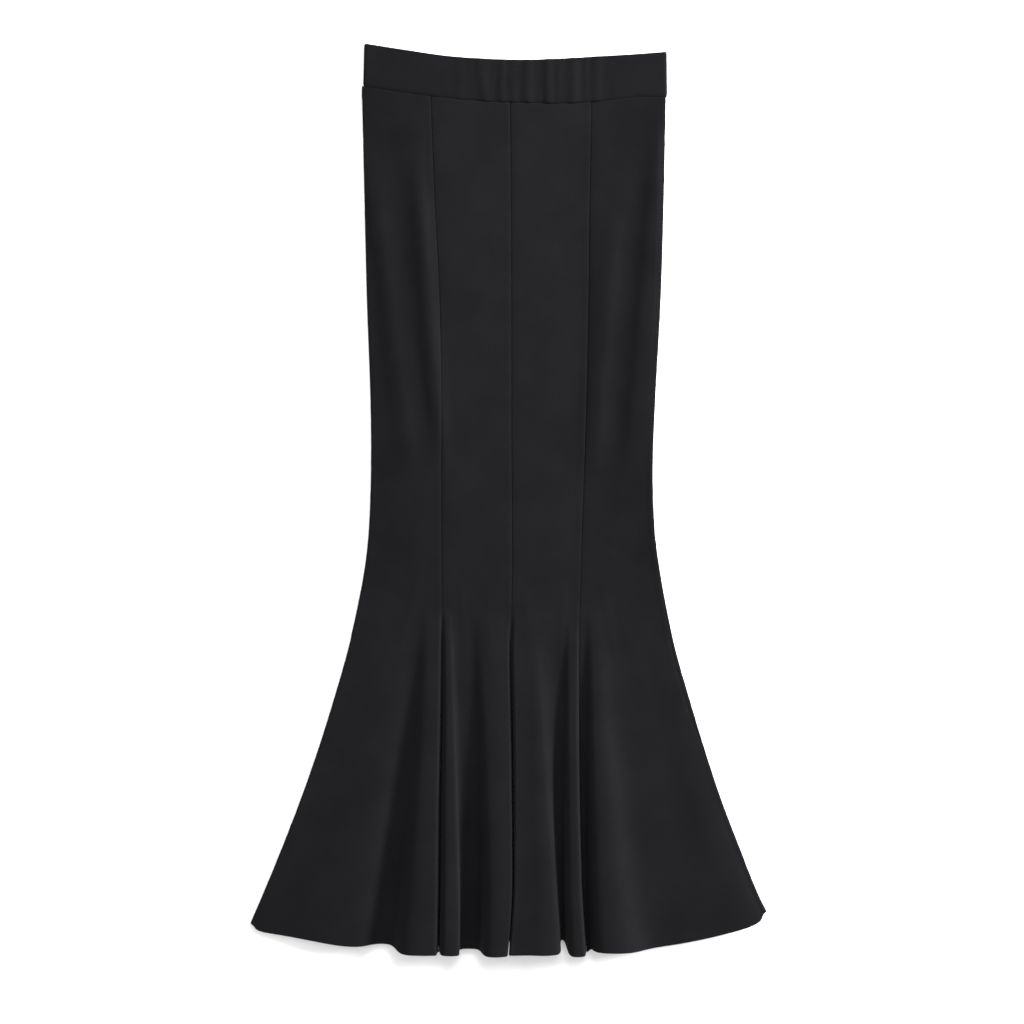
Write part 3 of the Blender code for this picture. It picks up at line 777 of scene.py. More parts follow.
@dataclass(frozen=True)
class PonteKnit:
    """Ponte double-knit jersey, dyed black: two interlocked faces of fine wales with a short nap.

    It looks matt and even. The nap lifts the colour a little at grazing angles, and the loops
    make a close grain that runs lengthwise.
    """

    name: str
    dye: str = "#0e0e10"
    worn: str = "#171719"
    roughness: float = 0.55
    roughness_swing: float = 0.05
    specular: float = 0.004
    sheen: float = 0.022
    sheen_roughness: float = 0.45
    wale: float = 1.5          # real wales are 0.8 mm apart, too fine to show; drawn at twice that
    course: float = 1.3        # real courses are 0.6 mm apart, drawn coarser for the same reason
    course_share: float = 0.45     # the courses show this much of the wales' depth
    wander: float = 2.4        # how far the rows of loops stray, in radians of their waves
    loop_depth: float = 0.03
    fuzz: float = 0.9          # mean size of the tufts of the nap
    fuzz_depth: float = 0.03
    fuzz_range: tuple[float, float] = (0.3, 0.7)     # most of the noise's values lie between these
    cloud: float = 46.0        # mean size of the faint patches where the dye took unevenly
    cloud_range: tuple[float, float] = (0.35, 0.65)
    patch_least: float = 0.55  # the colour's share of the way from fresh dye to worn
    patch_most: float = 0.80
    flecks: float = 0.08       # how far that share swings from loop to loop
    painted_side_shade: float = 0.30     # painted shade: the sides are darker than the middle, where less light falls
    side_shade_from: float = 62.0
    side_shade_full: float = 128.0
    side_shade_low_y: float = -190.0
    side_shade_high_y: float = -20.0

    def loops(self, tree: bpy.types.NodeTree, fuzz: bpy.types.Node) -> bpy.types.Node:
        """Wales and courses of the knit, on the cloth's own UV map, which is in metres.

        Args:
            tree: the material's nodes.
            fuzz: the nap's noise, which makes the rows stray.

        Returns:
            A node that gives the loops' height, between about -1 and 1.
        """
        cloth = add_node(tree, "ShaderNodeUVMap", uv_map="cloth")
        axes = add_node(tree, "ShaderNodeSeparateXYZ", {"Vector": cloth})
        wander = add_node(tree, "ShaderNodeMath", {0: fuzz, 1: self.wander}, operation="MULTIPLY")
        waves = []
        for axis, pitch in (("X", self.wale), ("Y", self.course)):
            turns = add_node(tree, "ShaderNodeMath", {
                0: axes.outputs[axis], 1: math.tau / (pitch * MM), 2: wander}, operation="MULTIPLY_ADD")
            waves.append(add_node(tree, "ShaderNodeMath", {0: turns}, operation="SINE"))
        return add_node(tree, "ShaderNodeMath", {
            0: waves[1], 1: self.course_share, 2: waves[0]}, operation="MULTIPLY_ADD")

    def patches_and_side_shade(self, tree: bpy.types.NodeTree, place: bpy.types.NodeSocket) -> bpy.types.Node:
        """Patches of uneven dye, and painted shade that darkens the sides of the skirt and fades out about
        the throat.

        Args:
            tree: the material's nodes.
            place: each point's place on the piece.

        Returns:
            A node that gives the share of the way from fresh dye to worn.
        """
        cloud = add_node(tree, "ShaderNodeTexNoise", {
            "Vector": place, "Scale": 1.0 / (self.cloud * MM), "Detail": 4.0, "Roughness": 0.55})
        patches = add_node(tree, "ShaderNodeMapRange", {
            "Value": cloud, "From Min": self.cloud_range[0], "From Max": self.cloud_range[1],
            "To Min": self.patch_least, "To Max": self.patch_most})
        where = add_node(tree, "ShaderNodeSeparateXYZ", {"Vector": place})
        # painted shade: away from the middle the share falls towards the dark dye; it is full above the
        # throat and gone in the flare
        off_middle = add_node(tree, "ShaderNodeMath", {0: where.outputs["X"]}, operation="ABSOLUTE")
        beside = add_node(tree, "ShaderNodeMapRange", {
            "Value": off_middle, "From Min": self.side_shade_from * MM, "From Max": self.side_shade_full * MM,
            "To Min": 0.0, "To Max": -self.painted_side_shade}, interpolation_type="SMOOTHSTEP")
        above = add_node(tree, "ShaderNodeMapRange", {
            "Value": where.outputs["Y"], "From Min": self.side_shade_low_y * MM,
            "From Max": self.side_shade_high_y * MM}, interpolation_type="SMOOTHSTEP")
        return add_node(tree, "ShaderNodeMath", {
            0: beside, 1: above, 2: patches}, operation="MULTIPLY_ADD")

    def material(self) -> bpy.types.Material:
        """Make the knit's node material.

        Returns:
            The material.
        """
        made, place = start_material(self.name)
        tree = made.node_tree
        fuzz = add_node(tree, "ShaderNodeTexNoise", {
            "Vector": place, "Scale": 1.0 / (self.fuzz * MM), "Detail": 3.0, "Roughness": 0.65})
        loops = self.loops(tree, fuzz)
        relief = add_node(tree, "ShaderNodeMath", {
            0: fuzz, 1: self.fuzz_depth / self.loop_depth * 2.0, 2: loops}, operation="MULTIPLY_ADD")
        lift = add_node(tree, "ShaderNodeBump", {
            "Height": relief, "Strength": 1.0, "Distance": self.loop_depth * MM / 2})
        share = add_node(tree, "ShaderNodeMath", {
            0: loops, 1: self.flecks, 2: self.patches_and_side_shade(tree, place)}, operation="MULTIPLY_ADD")
        colour = add_node(tree, "ShaderNodeMix", {
            0: share, 6: linear(self.dye), 7: linear(self.worn)}, data_type="RGBA")
        rough = add_node(tree, "ShaderNodeMapRange", {
            "Value": fuzz, "From Min": self.fuzz_range[0], "From Max": self.fuzz_range[1],
            "To Min": self.roughness - self.roughness_swing,
            "To Max": self.roughness + self.roughness_swing})
        surface = tree.nodes["Principled BSDF"]
        tree.links.new(colour.outputs[2], surface.inputs["Base Color"])
        tree.links.new(rough.outputs["Result"], surface.inputs["Roughness"])
        tree.links.new(lift.outputs["Normal"], surface.inputs["Normal"])
        surface.inputs["Specular IOR Level"].default_value = self.specular
        surface.inputs["Sheen Weight"].default_value = self.sheen
        surface.inputs["Sheen Roughness"].default_value = self.sheen_roughness
        return made


@dataclass(frozen=True)
class MottledFinish:
    """A finish of nearly one colour, with a fine grain in it."""

    name: str
    dark: str
    light: str
    grain: float               # mean size of the grain
    roughness: float
    specular: float = 0.5
    relief: float = 0.0        # height of the grain

    def material(self) -> bpy.types.Material:
        """Make the finish's node material.

        Returns:
            The material.
        """
        made, place = start_material(self.name)
        tree = made.node_tree
        surface = tree.nodes["Principled BSDF"]
        grain = add_node(tree, "ShaderNodeTexNoise", {
            "Vector": place, "Scale": 1.0 / (self.grain * MM), "Detail": 2.0})
        colour = add_node(tree, "ShaderNodeMix", {
            0: grain, 6: linear(self.dark), 7: linear(self.light)}, data_type="RGBA")
        tree.links.new(colour.outputs[2], surface.inputs["Base Color"])
        if self.relief > 0.0:
            lift = add_node(tree, "ShaderNodeBump", {
                "Height": grain, "Strength": 1.0, "Distance": self.relief * MM})
            tree.links.new(lift.outputs["Normal"], surface.inputs["Normal"])
        surface.inputs["Roughness"].default_value = self.roughness
        surface.inputs["Specular IOR Level"].default_value = self.specular
        return made


# Core-spun polyester thread, black: a hard twist with a slight lustre; its grain is one turn of
# the twist.
THREAD = MottledFinish("core_spun_thread", "#131315", "#1b1b1e", 0.30, 0.42, specular=0.12, relief=0.03)
# White seamless background paper: uncoated, smooth and matt; its grain is the fibres'.
PAPER = MottledFinish("white_seamless_paper", "#ffffff", "#fcfcfc", 3.0, 0.9)


@dataclass(frozen=True)
class ShellProfile:
    """The cloth's wall through its thickness, and the turned and blind-stitched hem."""

    outer: float = 0.6         # the outer face lies this far outside the cloth's middle
    thickness: float = 0.75
    hem_turn: float = 16.0     # depth of the hem that is turned up inside
    turn_step: float = 0.5     # the wall thickens over this much at the turned hem's raw edge
    turn_rows: Distances = (8.0, 4.0, 2.2)   # rows below the raw edge, measured from the hem's edge
    fold_steps: int = 4        # rows over each quarter of the hem's rounded edge

    @property
    def inner(self) -> float:
        """Offset of the wall's inner face."""
        return self.outer - self.thickness

    @property
    def turned(self) -> float:
        """Offset of the inner face of the turned hem."""
        return self.inner - self.thickness

    @property
    def fold_radius(self) -> float:
        """Radius of the hem's edge."""
        return (self.outer - self.turned) / 2

    @property
    def fold_angles(self) -> np.ndarray:
        """Angles of the rows over a quarter of the hem's rounded edge."""
        return np.linspace(0.0, math.pi / 2, self.fold_steps + 1)


@dataclass(frozen=True)
class SeamLook:
    """A pressed seam between two gores: a narrow ditch, with the allowances showing on one side."""

    clear: float = 0.06        # half of the gap left between the two pieces
    roll: float = 1.7          # the cloth rolls down over this width
    depth: float = 0.62
    filled: float = 0.12       # share of that depth on the side that the allowances fill
    valley: float = 1.25       # the cloth on both sides leans down to the seam
    valley_width: float = 4.6
    valley_pressed: float = 0.35   # share of the lean on the side that the allowances fill
    valley_left: float = 0.12  # share of the lean that is left in the flare, where the seams hang free
    deepest_y: float = 165.0   # the side seams pull in most at the hip
    deepest_reach: float = 165.0
    hip_lean: float = 1.15     # share of the lean that the outer seams have there
    shallow: float = 0.45      # share of it that they have away from the hip
    centre_lean: float = 0.62  # share of it that the centre seam has all along
    free_from: float = 0.88    # v where the seams start to hang free
    free_over: float = 0.2
    ridge: float = 0.20        # height of the allowances where they lift the cloth
    ridge_at: float = 2.6
    ridge_width: float = 3.4
    pucker: float = 0.11       # height of the small puckers that the sewing draws
    pucker_reach: float = 7.0
    waves: tuple[Wave, ...] = (Wave(1.0, 2.9, 1.0), Wave(0.8, 4.7, 2.3), Wave(0.6, 1.9, -1.0))
    unevenness: Wave = Wave(0.45, 31.0, 1.7)
    columns: Distances = (0.0, 0.12, 0.30, 0.55, 0.85, 1.25, 1.75)     # distances from the seam
    margin: float = 2.4

    def ditch(self, distance: np.ndarray, share: float = 1.0) -> np.ndarray:
        """Drop of the cloth where it rolls down to the seam, to a share of the full depth."""
        near = np.clip(1.0 - distance / self.roll, 0.0, 1.0)
        return -self.depth * share * (1.0 - np.sqrt(np.maximum(1.0 - near**2, 0.0)))

    def lean(self, distance: np.ndarray, v: np.ndarray, y: np.ndarray, at_side: bool) -> np.ndarray:
        """Wide, shallow drop of the cloth beside a lengthwise seam.

        Args:
            distance: distance from the seam along the cloth.
            v: levels.
            y: places lengthwise.
            at_side: whether it is one of the two outer seams, which pull in most at the hip.

        Returns:
            The drop, negative.
        """
        left = mix(1.0, self.valley_left, ease((v - self.free_from) / self.free_over))
        hip = mix(self.shallow, self.hip_lean, bump(y - self.deepest_y, self.deepest_reach))
        share = hip if at_side else self.centre_lean
        return -self.valley * share * left[:, None] * np.exp(-distance / self.valley_width)

    def allowance(self, distance: np.ndarray) -> np.ndarray:
        """Lift over the seam allowances, which are pressed to this side.

        Args:
            distance: distance from the seam along the cloth.

        Returns:
            The lift.
        """
        far = np.maximum(distance - self.ridge_at, 0.0) / self.ridge_width
        near = np.maximum(self.ridge_at - distance, 0.0) / self.ridge_at
        return self.ridge * (bump(far, 1.0) - near**2)

    def puckers(self, distance: np.ndarray, along: np.ndarray, phase: float) -> np.ndarray:
        """Small uneven ripples beside the seam.

        Args:
            distance: distance from the seam along the cloth.
            along: places lengthwise.
            phase: the seam's own phase, of which each wave has a share.

        Returns:
            Their height.
        """
        ripples = sum(w.height * np.sin(along / w.length + w.phase * phase) for w in self.waves)
        slow = self.unevenness
        uneven = 1.0 - slow.height + slow.height * np.sin(along / slow.length + slow.phase * phase)
        return self.pucker * ripples * uneven * np.exp(-distance / self.pucker_reach)


def shell_object(name: str, vertices: np.ndarray, faces: list[tuple[int, ...]], uvs: np.ndarray,
                 finish: bpy.types.Material) -> bpy.types.Object:
    """One smooth mesh object in metres.

    Args:
        name: name of the piece.
        vertices: places in millimetres.
        faces: vertex numbers of each face.
        uvs: place on the flat cloth of each vertex, in millimetres.
        finish: material of the whole piece.

    Returns:
        The object, at the world's origin.
    """
    mesh = bpy.data.meshes.new(name)
    mesh.from_pydata((vertices * MM).tolist(), [], faces)
    layer = mesh.uv_layers.new(name="cloth")
    corners = np.empty(len(mesh.loops), dtype=np.int32)
    mesh.loops.foreach_get("vertex_index", corners)
    layer.data.foreach_set("uv", (uvs[corners] * MM).astype(np.float32).ravel())
    mesh.shade_smooth()
    mesh.materials.append(finish)
    mesh.validate()
    piece = bpy.data.objects.new(name, mesh)
    bpy.context.scene.collection.objects.link(piece)
    return piece


def grid_faces(rows: int, columns: int, wrap_columns: bool) -> list[tuple[int, ...]]:
    """Quads over a grid of vertices, numbered row by row; the last row joins the first.

    Args:
        rows: how many rows.
        columns: how many vertices in each.
        wrap_columns: whether the last column joins the first too.

    Returns:
        The vertex numbers of each quad.
    """
    faces = []
    for r in range(rows):
        below = (r + 1) % rows
        for c in range(columns if wrap_columns else columns - 1):
            right = (c + 1) % columns
            lower = (below * columns + c, below * columns + right)
            faces.append((r * columns + c, *lower, r * columns + right))
    return faces


@dataclass(frozen=True)
class StitchLine:
    """A line of sewing on the cloth: where it runs, and which way is out of the cloth there."""

    places: np.ndarray
    outward: np.ndarray


@dataclass
class Sewing:
    """All the stitches of one kind, laid by Geometry Nodes along their lines; sizes are millimetres."""

    name: str
    pitch: float
    length: float
    stand: float               # the stitches lie this far off the cloth's face
    thread: float = 0.24       # diameter
    arch: float = 0.10         # how far the middle of a stitch stands up
    slant: float = 0.0         # turn away from the line, in radians
    unevenness: float = 0.07   # most that a stitch turns from that, in radians
    steps: int = 2             # spans along a stitch
    sides: int = 4             # faces round its thread
    seed: int = 7
    lines: list[StitchLine] = field(default_factory=list)

    def tree(self) -> bpy.types.NodeTree:
        """Make the node tree that lays one arched thread after another along a path.

        Returns:
            The tree, with its path, sizes, seed and material as named inputs.
        """
        tree = bpy.data.node_groups.new(self.name, "GeometryNodeTree")
        face = tree.interface
        face.new_socket("Path", in_out="INPUT", socket_type="NodeSocketGeometry")
        for name in ("Pitch", "Half length", "Thread radius", "Arch", "Slant"):
            face.new_socket(name, in_out="INPUT", socket_type="NodeSocketFloat")
        face.new_socket("Seed", in_out="INPUT", socket_type="NodeSocketInt")
        face.new_socket("Finish", in_out="INPUT", socket_type="NodeSocketMaterial")
        face.new_socket("Stitches", in_out="OUTPUT", socket_type="NodeSocketGeometry")
        given = add_node(tree, "NodeGroupInput").outputs
        path = add_node(tree, "GeometryNodeMeshToCurve", {"Mesh": given["Path"]})
        spots = add_node(tree, "GeometryNodeCurveToPoints", {
            "Curve": path, "Length": given["Pitch"]}, mode="LENGTH")
        out = add_node(tree, "GeometryNodeInputNamedAttribute", {
            "Name": "outward"}, data_type="FLOAT_VECTOR")
        upright = add_node(tree, "FunctionNodeAlignRotationToVector", {"Vector": out}, axis="Z")
        along = add_node(tree, "FunctionNodeAlignRotationToVector", {
            "Rotation": upright, "Vector": spots.outputs["Tangent"]}, axis="X", pivot_axis="Z")
        uneven = add_node(tree, "FunctionNodeRandomValue", {
            2: -self.unevenness, 3: self.unevenness, "Seed": given["Seed"]}, data_type="FLOAT")
        turn = add_node(tree, "ShaderNodeMath", {0: given["Slant"], 1: uneven.outputs[1]}, operation="ADD")
        spin = add_node(tree, "FunctionNodeAxisAngleToRotation", {"Axis": (0.0, 0.0, 1.0), "Angle": turn})
        laid = add_node(tree, "FunctionNodeRotateRotation", {
            "Rotation": along, "Rotate By": spin}, rotation_space="LOCAL")
        back = add_node(tree, "ShaderNodeMath", {0: given["Half length"], 1: -1.0}, operation="MULTIPLY")
        start = add_node(tree, "ShaderNodeCombineXYZ", {"X": back})
        middle = add_node(tree, "ShaderNodeCombineXYZ", {"Z": given["Arch"]})
        end = add_node(tree, "ShaderNodeCombineXYZ", {"X": given["Half length"]})
        arc = add_node(tree, "GeometryNodeCurveQuadraticBezier", {
            "Resolution": self.steps, "Start": start, "Middle": middle, "End": end})
        ring = add_node(tree, "GeometryNodeCurvePrimitiveCircle", {
            "Resolution": self.sides, "Radius": given["Thread radius"]})
        stitch = add_node(tree, "GeometryNodeCurveToMesh", {
            "Curve": arc, "Profile Curve": ring, "Fill Caps": True})
        placed = add_node(tree, "GeometryNodeInstanceOnPoints", {
            "Points": spots, "Instance": stitch, "Rotation": laid})
        real = add_node(tree, "GeometryNodeRealizeInstances", {"Geometry": placed})
        dressed = add_node(tree, "GeometryNodeSetMaterial", {
            "Geometry": real, "Material": given["Finish"]})
        add_node(tree, "NodeGroupOutput", {0: dressed})
        return tree

    def build(self, finish: bpy.types.Material) -> bpy.types.Object:
        """Lay the stitches along every line, as one plain mesh.

        Args:
            finish: the thread.

        Returns:
            The piece.
        """
        places = np.concatenate([line.places for line in self.lines])
        places[:, 2] = np.maximum(places[:, 2], self.thread / 2 + self.arch)
        outward = np.concatenate([line.outward for line in self.lines])
        edges, first = [], 0
        for line in self.lines:
            edges += [(first + i, first + i + 1) for i in range(len(line.places) - 1)]
            first += len(line.places)
        path = bpy.data.meshes.new(self.name + "_path")
        path.from_pydata((places * MM).tolist(), edges, [])
        stored = path.attributes.new("outward", "FLOAT_VECTOR", "POINT")
        stored.data.foreach_set("vector", outward.ravel())
        piece = bpy.data.objects.new(self.name, path)
        bpy.context.scene.collection.objects.link(piece)
        layer = piece.modifiers.new("stitches", "NODES")
        layer.node_group = self.tree()
        sockets = {item.name: item.identifier for item in layer.node_group.interface.items_tree}
        for name, value in (("Pitch", self.pitch * MM), ("Half length", self.length * MM / 2),
                            ("Thread radius", self.thread * MM / 2), ("Arch", self.arch * MM * 2),
                            ("Slant", self.slant), ("Seed", self.seed), ("Finish", finish)):
            layer[sockets[name]] = value
        depsgraph = bpy.context.evaluated_depsgraph_get()
        made = bpy.data.meshes.new_from_object(piece.evaluated_get(depsgraph))
        piece.modifiers.clear()
        piece.data = made
        made.name = self.name
        bpy.data.meshes.remove(path)
        made.shade_smooth()
        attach(piece, "root")
        log.info("%s: %d faces", piece.name, len(made.polygons))
        return piece


@dataclass
class Gore:
    """One gore of the skirt: a thin shell of knit with its hem turned up inside."""

    name: str
    form: SkirtForm
    wall: ShellProfile
    seam: SeamLook
    sewing: dict[str, Sewing]
    upper_rows: int = 116
    flare_rows: int = 104
    steps: int = 6             # columns for each span between two fold points
    dense: int = 14            # the same, where lengths are measured
    seam_bare: int = 6         # columns at each end of the waist seam that have no stitches
    hem_bare: int = 8          # columns of the hem, and rows of the seams, that have none
    pucker_step: float = 1.3   # turn of the puckers from one seam to the next

    @property
    def index(self) -> int:
        """Place of the gore round the skirt."""
        return GORE_ORDER.index(self.name)

    @property
    def face(self) -> Face:
        """Whether the gore is on the front or the back."""
        return Face(self.name.split("_")[0])

    def levels(self) -> np.ndarray:
        """Choose the rows, which lie closer at the waist seam and at the hem's rounded edge.

        Returns:
            v of each row.
        """
        waist_length = WAIST_Y - self.form.throat_y
        hem_length = self.form.throat_y - SEAM_HEM_Y["left_seam"]
        near_waist = np.array(self.seam.columns) / waist_length
        fold = 2.0 - self.wall.fold_radius * (1.0 - np.sin(self.wall.fold_angles)) / hem_length
        raw_edge = self.wall.hem_turn
        turn_rows = np.array([raw_edge + self.wall.turn_step, raw_edge, *self.wall.turn_rows])
        turn = 2.0 - turn_rows / hem_length
        upper = np.linspace(self.seam.margin / waist_length, 1.0, self.upper_rows)
        flare = np.linspace(1.0, turn[0], self.flare_rows)[1:-1]
        return np.concatenate((near_waist, upper, flare, turn, fold))

    def columns(self, v: np.ndarray) -> tuple[np.ndarray, np.ndarray, np.ndarray]:
        """Choose the columns, which lie closer along the two seams.

        Args:
            v: levels.

        Returns:
            u of each column, and its distance along the cloth from the left and the right seam,
            each levels x columns.
        """
        first, last = self.form.limits(self.index, v)
        spans = self.form.starts[self.index + 1] - self.form.starts[self.index]
        shares = np.linspace(0.0, 1.0, spans * self.dense + 1)
        dense_u = mix(first[:, None], last[:, None], shares[None, :])
        place = self.form.points(dense_u, v)
        steps = np.linalg.norm(np.diff(place, axis=1), axis=2)
        run = np.concatenate((np.zeros((len(v), 1)), np.cumsum(steps, axis=1)), axis=1)
        margin = self.seam.margin
        near = self.seam.clear + np.array(self.seam.columns)
        us, lefts, rights = [], [], []
        for r, length in enumerate(run[:, -1]):
            even = np.interp(np.linspace(0.0, 1.0, spans * self.steps + 1), shares, run[r])
            middle = margin + even / length * (length - 2 * margin)
            s = np.concatenate((near, middle, length - near[::-1]))
            us.append(np.interp(s, run[r], dense_u[r]))
            lefts.append(s)
            rights.append(length - s)
        return np.array(us), np.array(lefts), np.array(rights)

    def seam_is_outer(self, side: Side) -> bool:
        """Whether the gore's seam on that side is another than the centre one."""
        return columns_of(self.name)[0 if side is Side.LEFT else 1] != "centre_seam"

    def relief(self, place: np.ndarray, v: np.ndarray, left: np.ndarray, right: np.ndarray,
               down: np.ndarray) -> np.ndarray:
        """Fine form on top of the smooth section: seam ditches, allowances, creases and puckers.

        Args:
            place: the cloth's middle, rows x columns x 3.
            v: levels.
            left: distance from the gore's left seam.
            right: distance from its right seam.
            down: distance from its waist seam.

        Returns:
            How far the cloth stands off its smooth middle.
        """
        phase = self.pucker_step * self.index
        y = place[..., 1]
        pressed, pressed_side, free, free_side = right, Side.RIGHT, left, Side.LEFT
        if self.face is Face.BACK:
            pressed, pressed_side, free, free_side = left, Side.LEFT, right, Side.RIGHT
        lift = self.seam.ditch(free) + self.seam.ditch(pressed, self.seam.filled) + self.seam.ditch(down)
        lift += self.seam.lean(free, v, y, self.seam_is_outer(free_side))
        lean = self.seam.lean(pressed, v, y, self.seam_is_outer(pressed_side))
        lift += lean * self.seam.valley_pressed
        lift += self.seam.allowance(pressed)
        lift += sum(drape.height_at(place) for drape in DRAPES[self.face])
        lift += self.seam.puckers(left, y, phase)
        lift += self.seam.puckers(right, y, phase + self.pucker_step)
        return lift

    def build(self, finish: bpy.types.Material) -> bpy.types.Object:
        """Make the shell, and put it in place of its solid.

        Args:
            finish: the knit.

        Returns:
            The piece.
        """
        v = self.levels()
        u, left, right = self.columns(v)
        middle = self.form.points(u, v)
        normal = self.form.normals(u, v)
        steps = np.linalg.norm(np.diff(middle, axis=0), axis=2)
        down = np.concatenate((np.zeros((1, u.shape[1])), np.cumsum(steps, axis=0)), axis=0)
        middle = middle + normal * self.relief(middle, v, left, right, down)[..., None]
        flat = np.stack(((left - right) / 2, -down), axis=-1)
        rows, cols = u.shape
        raw_edge = rows - len(self.wall.fold_angles) - len(self.wall.turn_rows) - 1
        order = [*range(rows), *range(rows - 2, -1, -1)]
        offsets = self.offsets(rows, raw_edge)
        vertices = (middle[order] + normal[order] * offsets[:, None, None]).reshape(-1, 3)
        vertices[:, 2] = np.maximum(vertices[:, 2], 0.0)
        faces = grid_faces(len(order), cols, wrap_columns=False) + self.side_faces(rows, cols)
        piece = shell_object(self.name + "_cloth", vertices, faces, flat[order].reshape(-1, 2), finish)
        self.sew(middle, normal, raw_edge)
        width = float((left + right)[:, 0].max()) * MM
        length = float(down[-1].max()) * MM
        area = self.flat_area(left + right, down)
        self.declare(piece, width, length, area)
        return piece

    def offsets(self, rows: int, raw_edge: int) -> np.ndarray:
        """How far the wall's faces stand off the cloth's middle.

        Args:
            rows: how many rows the gore has.
            raw_edge: the row where the turned hem ends inside.

        Returns:
            The offset of each row, down the outer face and up the inner one.
        """
        bulge = self.wall.fold_radius * np.cos(self.wall.fold_angles)
        centre = (self.wall.outer + self.wall.turned) / 2
        outer = np.full(rows, self.wall.outer)
        outer[-len(bulge):] = centre + bulge
        inner = np.full(rows, self.wall.inner)
        inner[raw_edge:] = self.wall.turned
        inner[-len(bulge):] = centre - bulge
        return np.concatenate((outer, inner[-2::-1]))

    def sew(self, middle: np.ndarray, normal: np.ndarray, raw_edge: int) -> None:
        """Add the gore's lines of stitches to the skirt's sewing.

        Args:
            middle: the cloth's middle, rows x columns x 3.
            normal: its outward directions.
            raw_edge: the row where the turned hem ends inside.
        """
        free = 0 if self.face is Face.FRONT else -1
        along_hem = slice(self.hem_bare, -self.hem_bare)
        for kind, where, side in (
            ("seam", (slice(self.hem_bare, raw_edge + 2), free), 1.0),
            ("seam", (0, slice(self.seam_bare, -self.seam_bare)), 1.0),
            ("overlock", (raw_edge, along_hem), -1.0),
            ("blind", (raw_edge + 1, along_hem), 1.0),
        ):
            stitches = self.sewing[kind]
            face = self.wall.outer if side > 0.0 else self.wall.turned
            places = middle[where] + normal[where] * (face + side * stitches.stand)
            stitches.lines.append(StitchLine(places, normal[where] * side))

    def side_faces(self, rows: int, cols: int) -> list[tuple[int, ...]]:
        """Faces that close the wall along the two seams.

        Args:
            rows: how many rows the gore has.
            cols: how many columns.

        Returns:
            The vertex numbers of each face.
        """
        count = 2 * rows - 1
        faces = []
        for c, turned in ((0, False), (cols - 1, True)):
            for r in range(rows - 1):
                near, far = r * cols + c, (r + 1) * cols + c
                back_near = (count - 1 - r) * cols + c
                back_far = (count - 2 - r) * cols + c
                ring = (near, back_near, back_far, far) if r < rows - 2 else (near, back_near, far)
                faces.append(ring[::-1] if turned else ring)
        return faces

    def flat_area(self, width: np.ndarray, down: np.ndarray) -> float:
        """Area of one layer of the gore, without allowances.

        Args:
            width: length of each row.
            down: distance of each vertex from the waist seam.

        Returns:
            The area in square metres.
        """
        steps = np.diff(down.mean(axis=1))
        across = width[:, 0]
        return float(((across[1:] + across[:-1]) / 2 * steps).sum()) * MM * MM

    def declare(self, piece: bpy.types.Object, width: float, length: float, area: float) -> None:
        """Attach the piece to the root, hide the solid that it stands for, and log its size.

        Args:
            piece: the cloth.
            width: greatest width of its flat cut, in metres.
            length: greatest length, in metres.
            area: area, in square metres.
        """
        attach(piece, "root")
        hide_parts(self.name)
        log.info("%s: %.0f x %.0f mm cut, %.4f m2", piece.name, width / MM, length / MM, area)


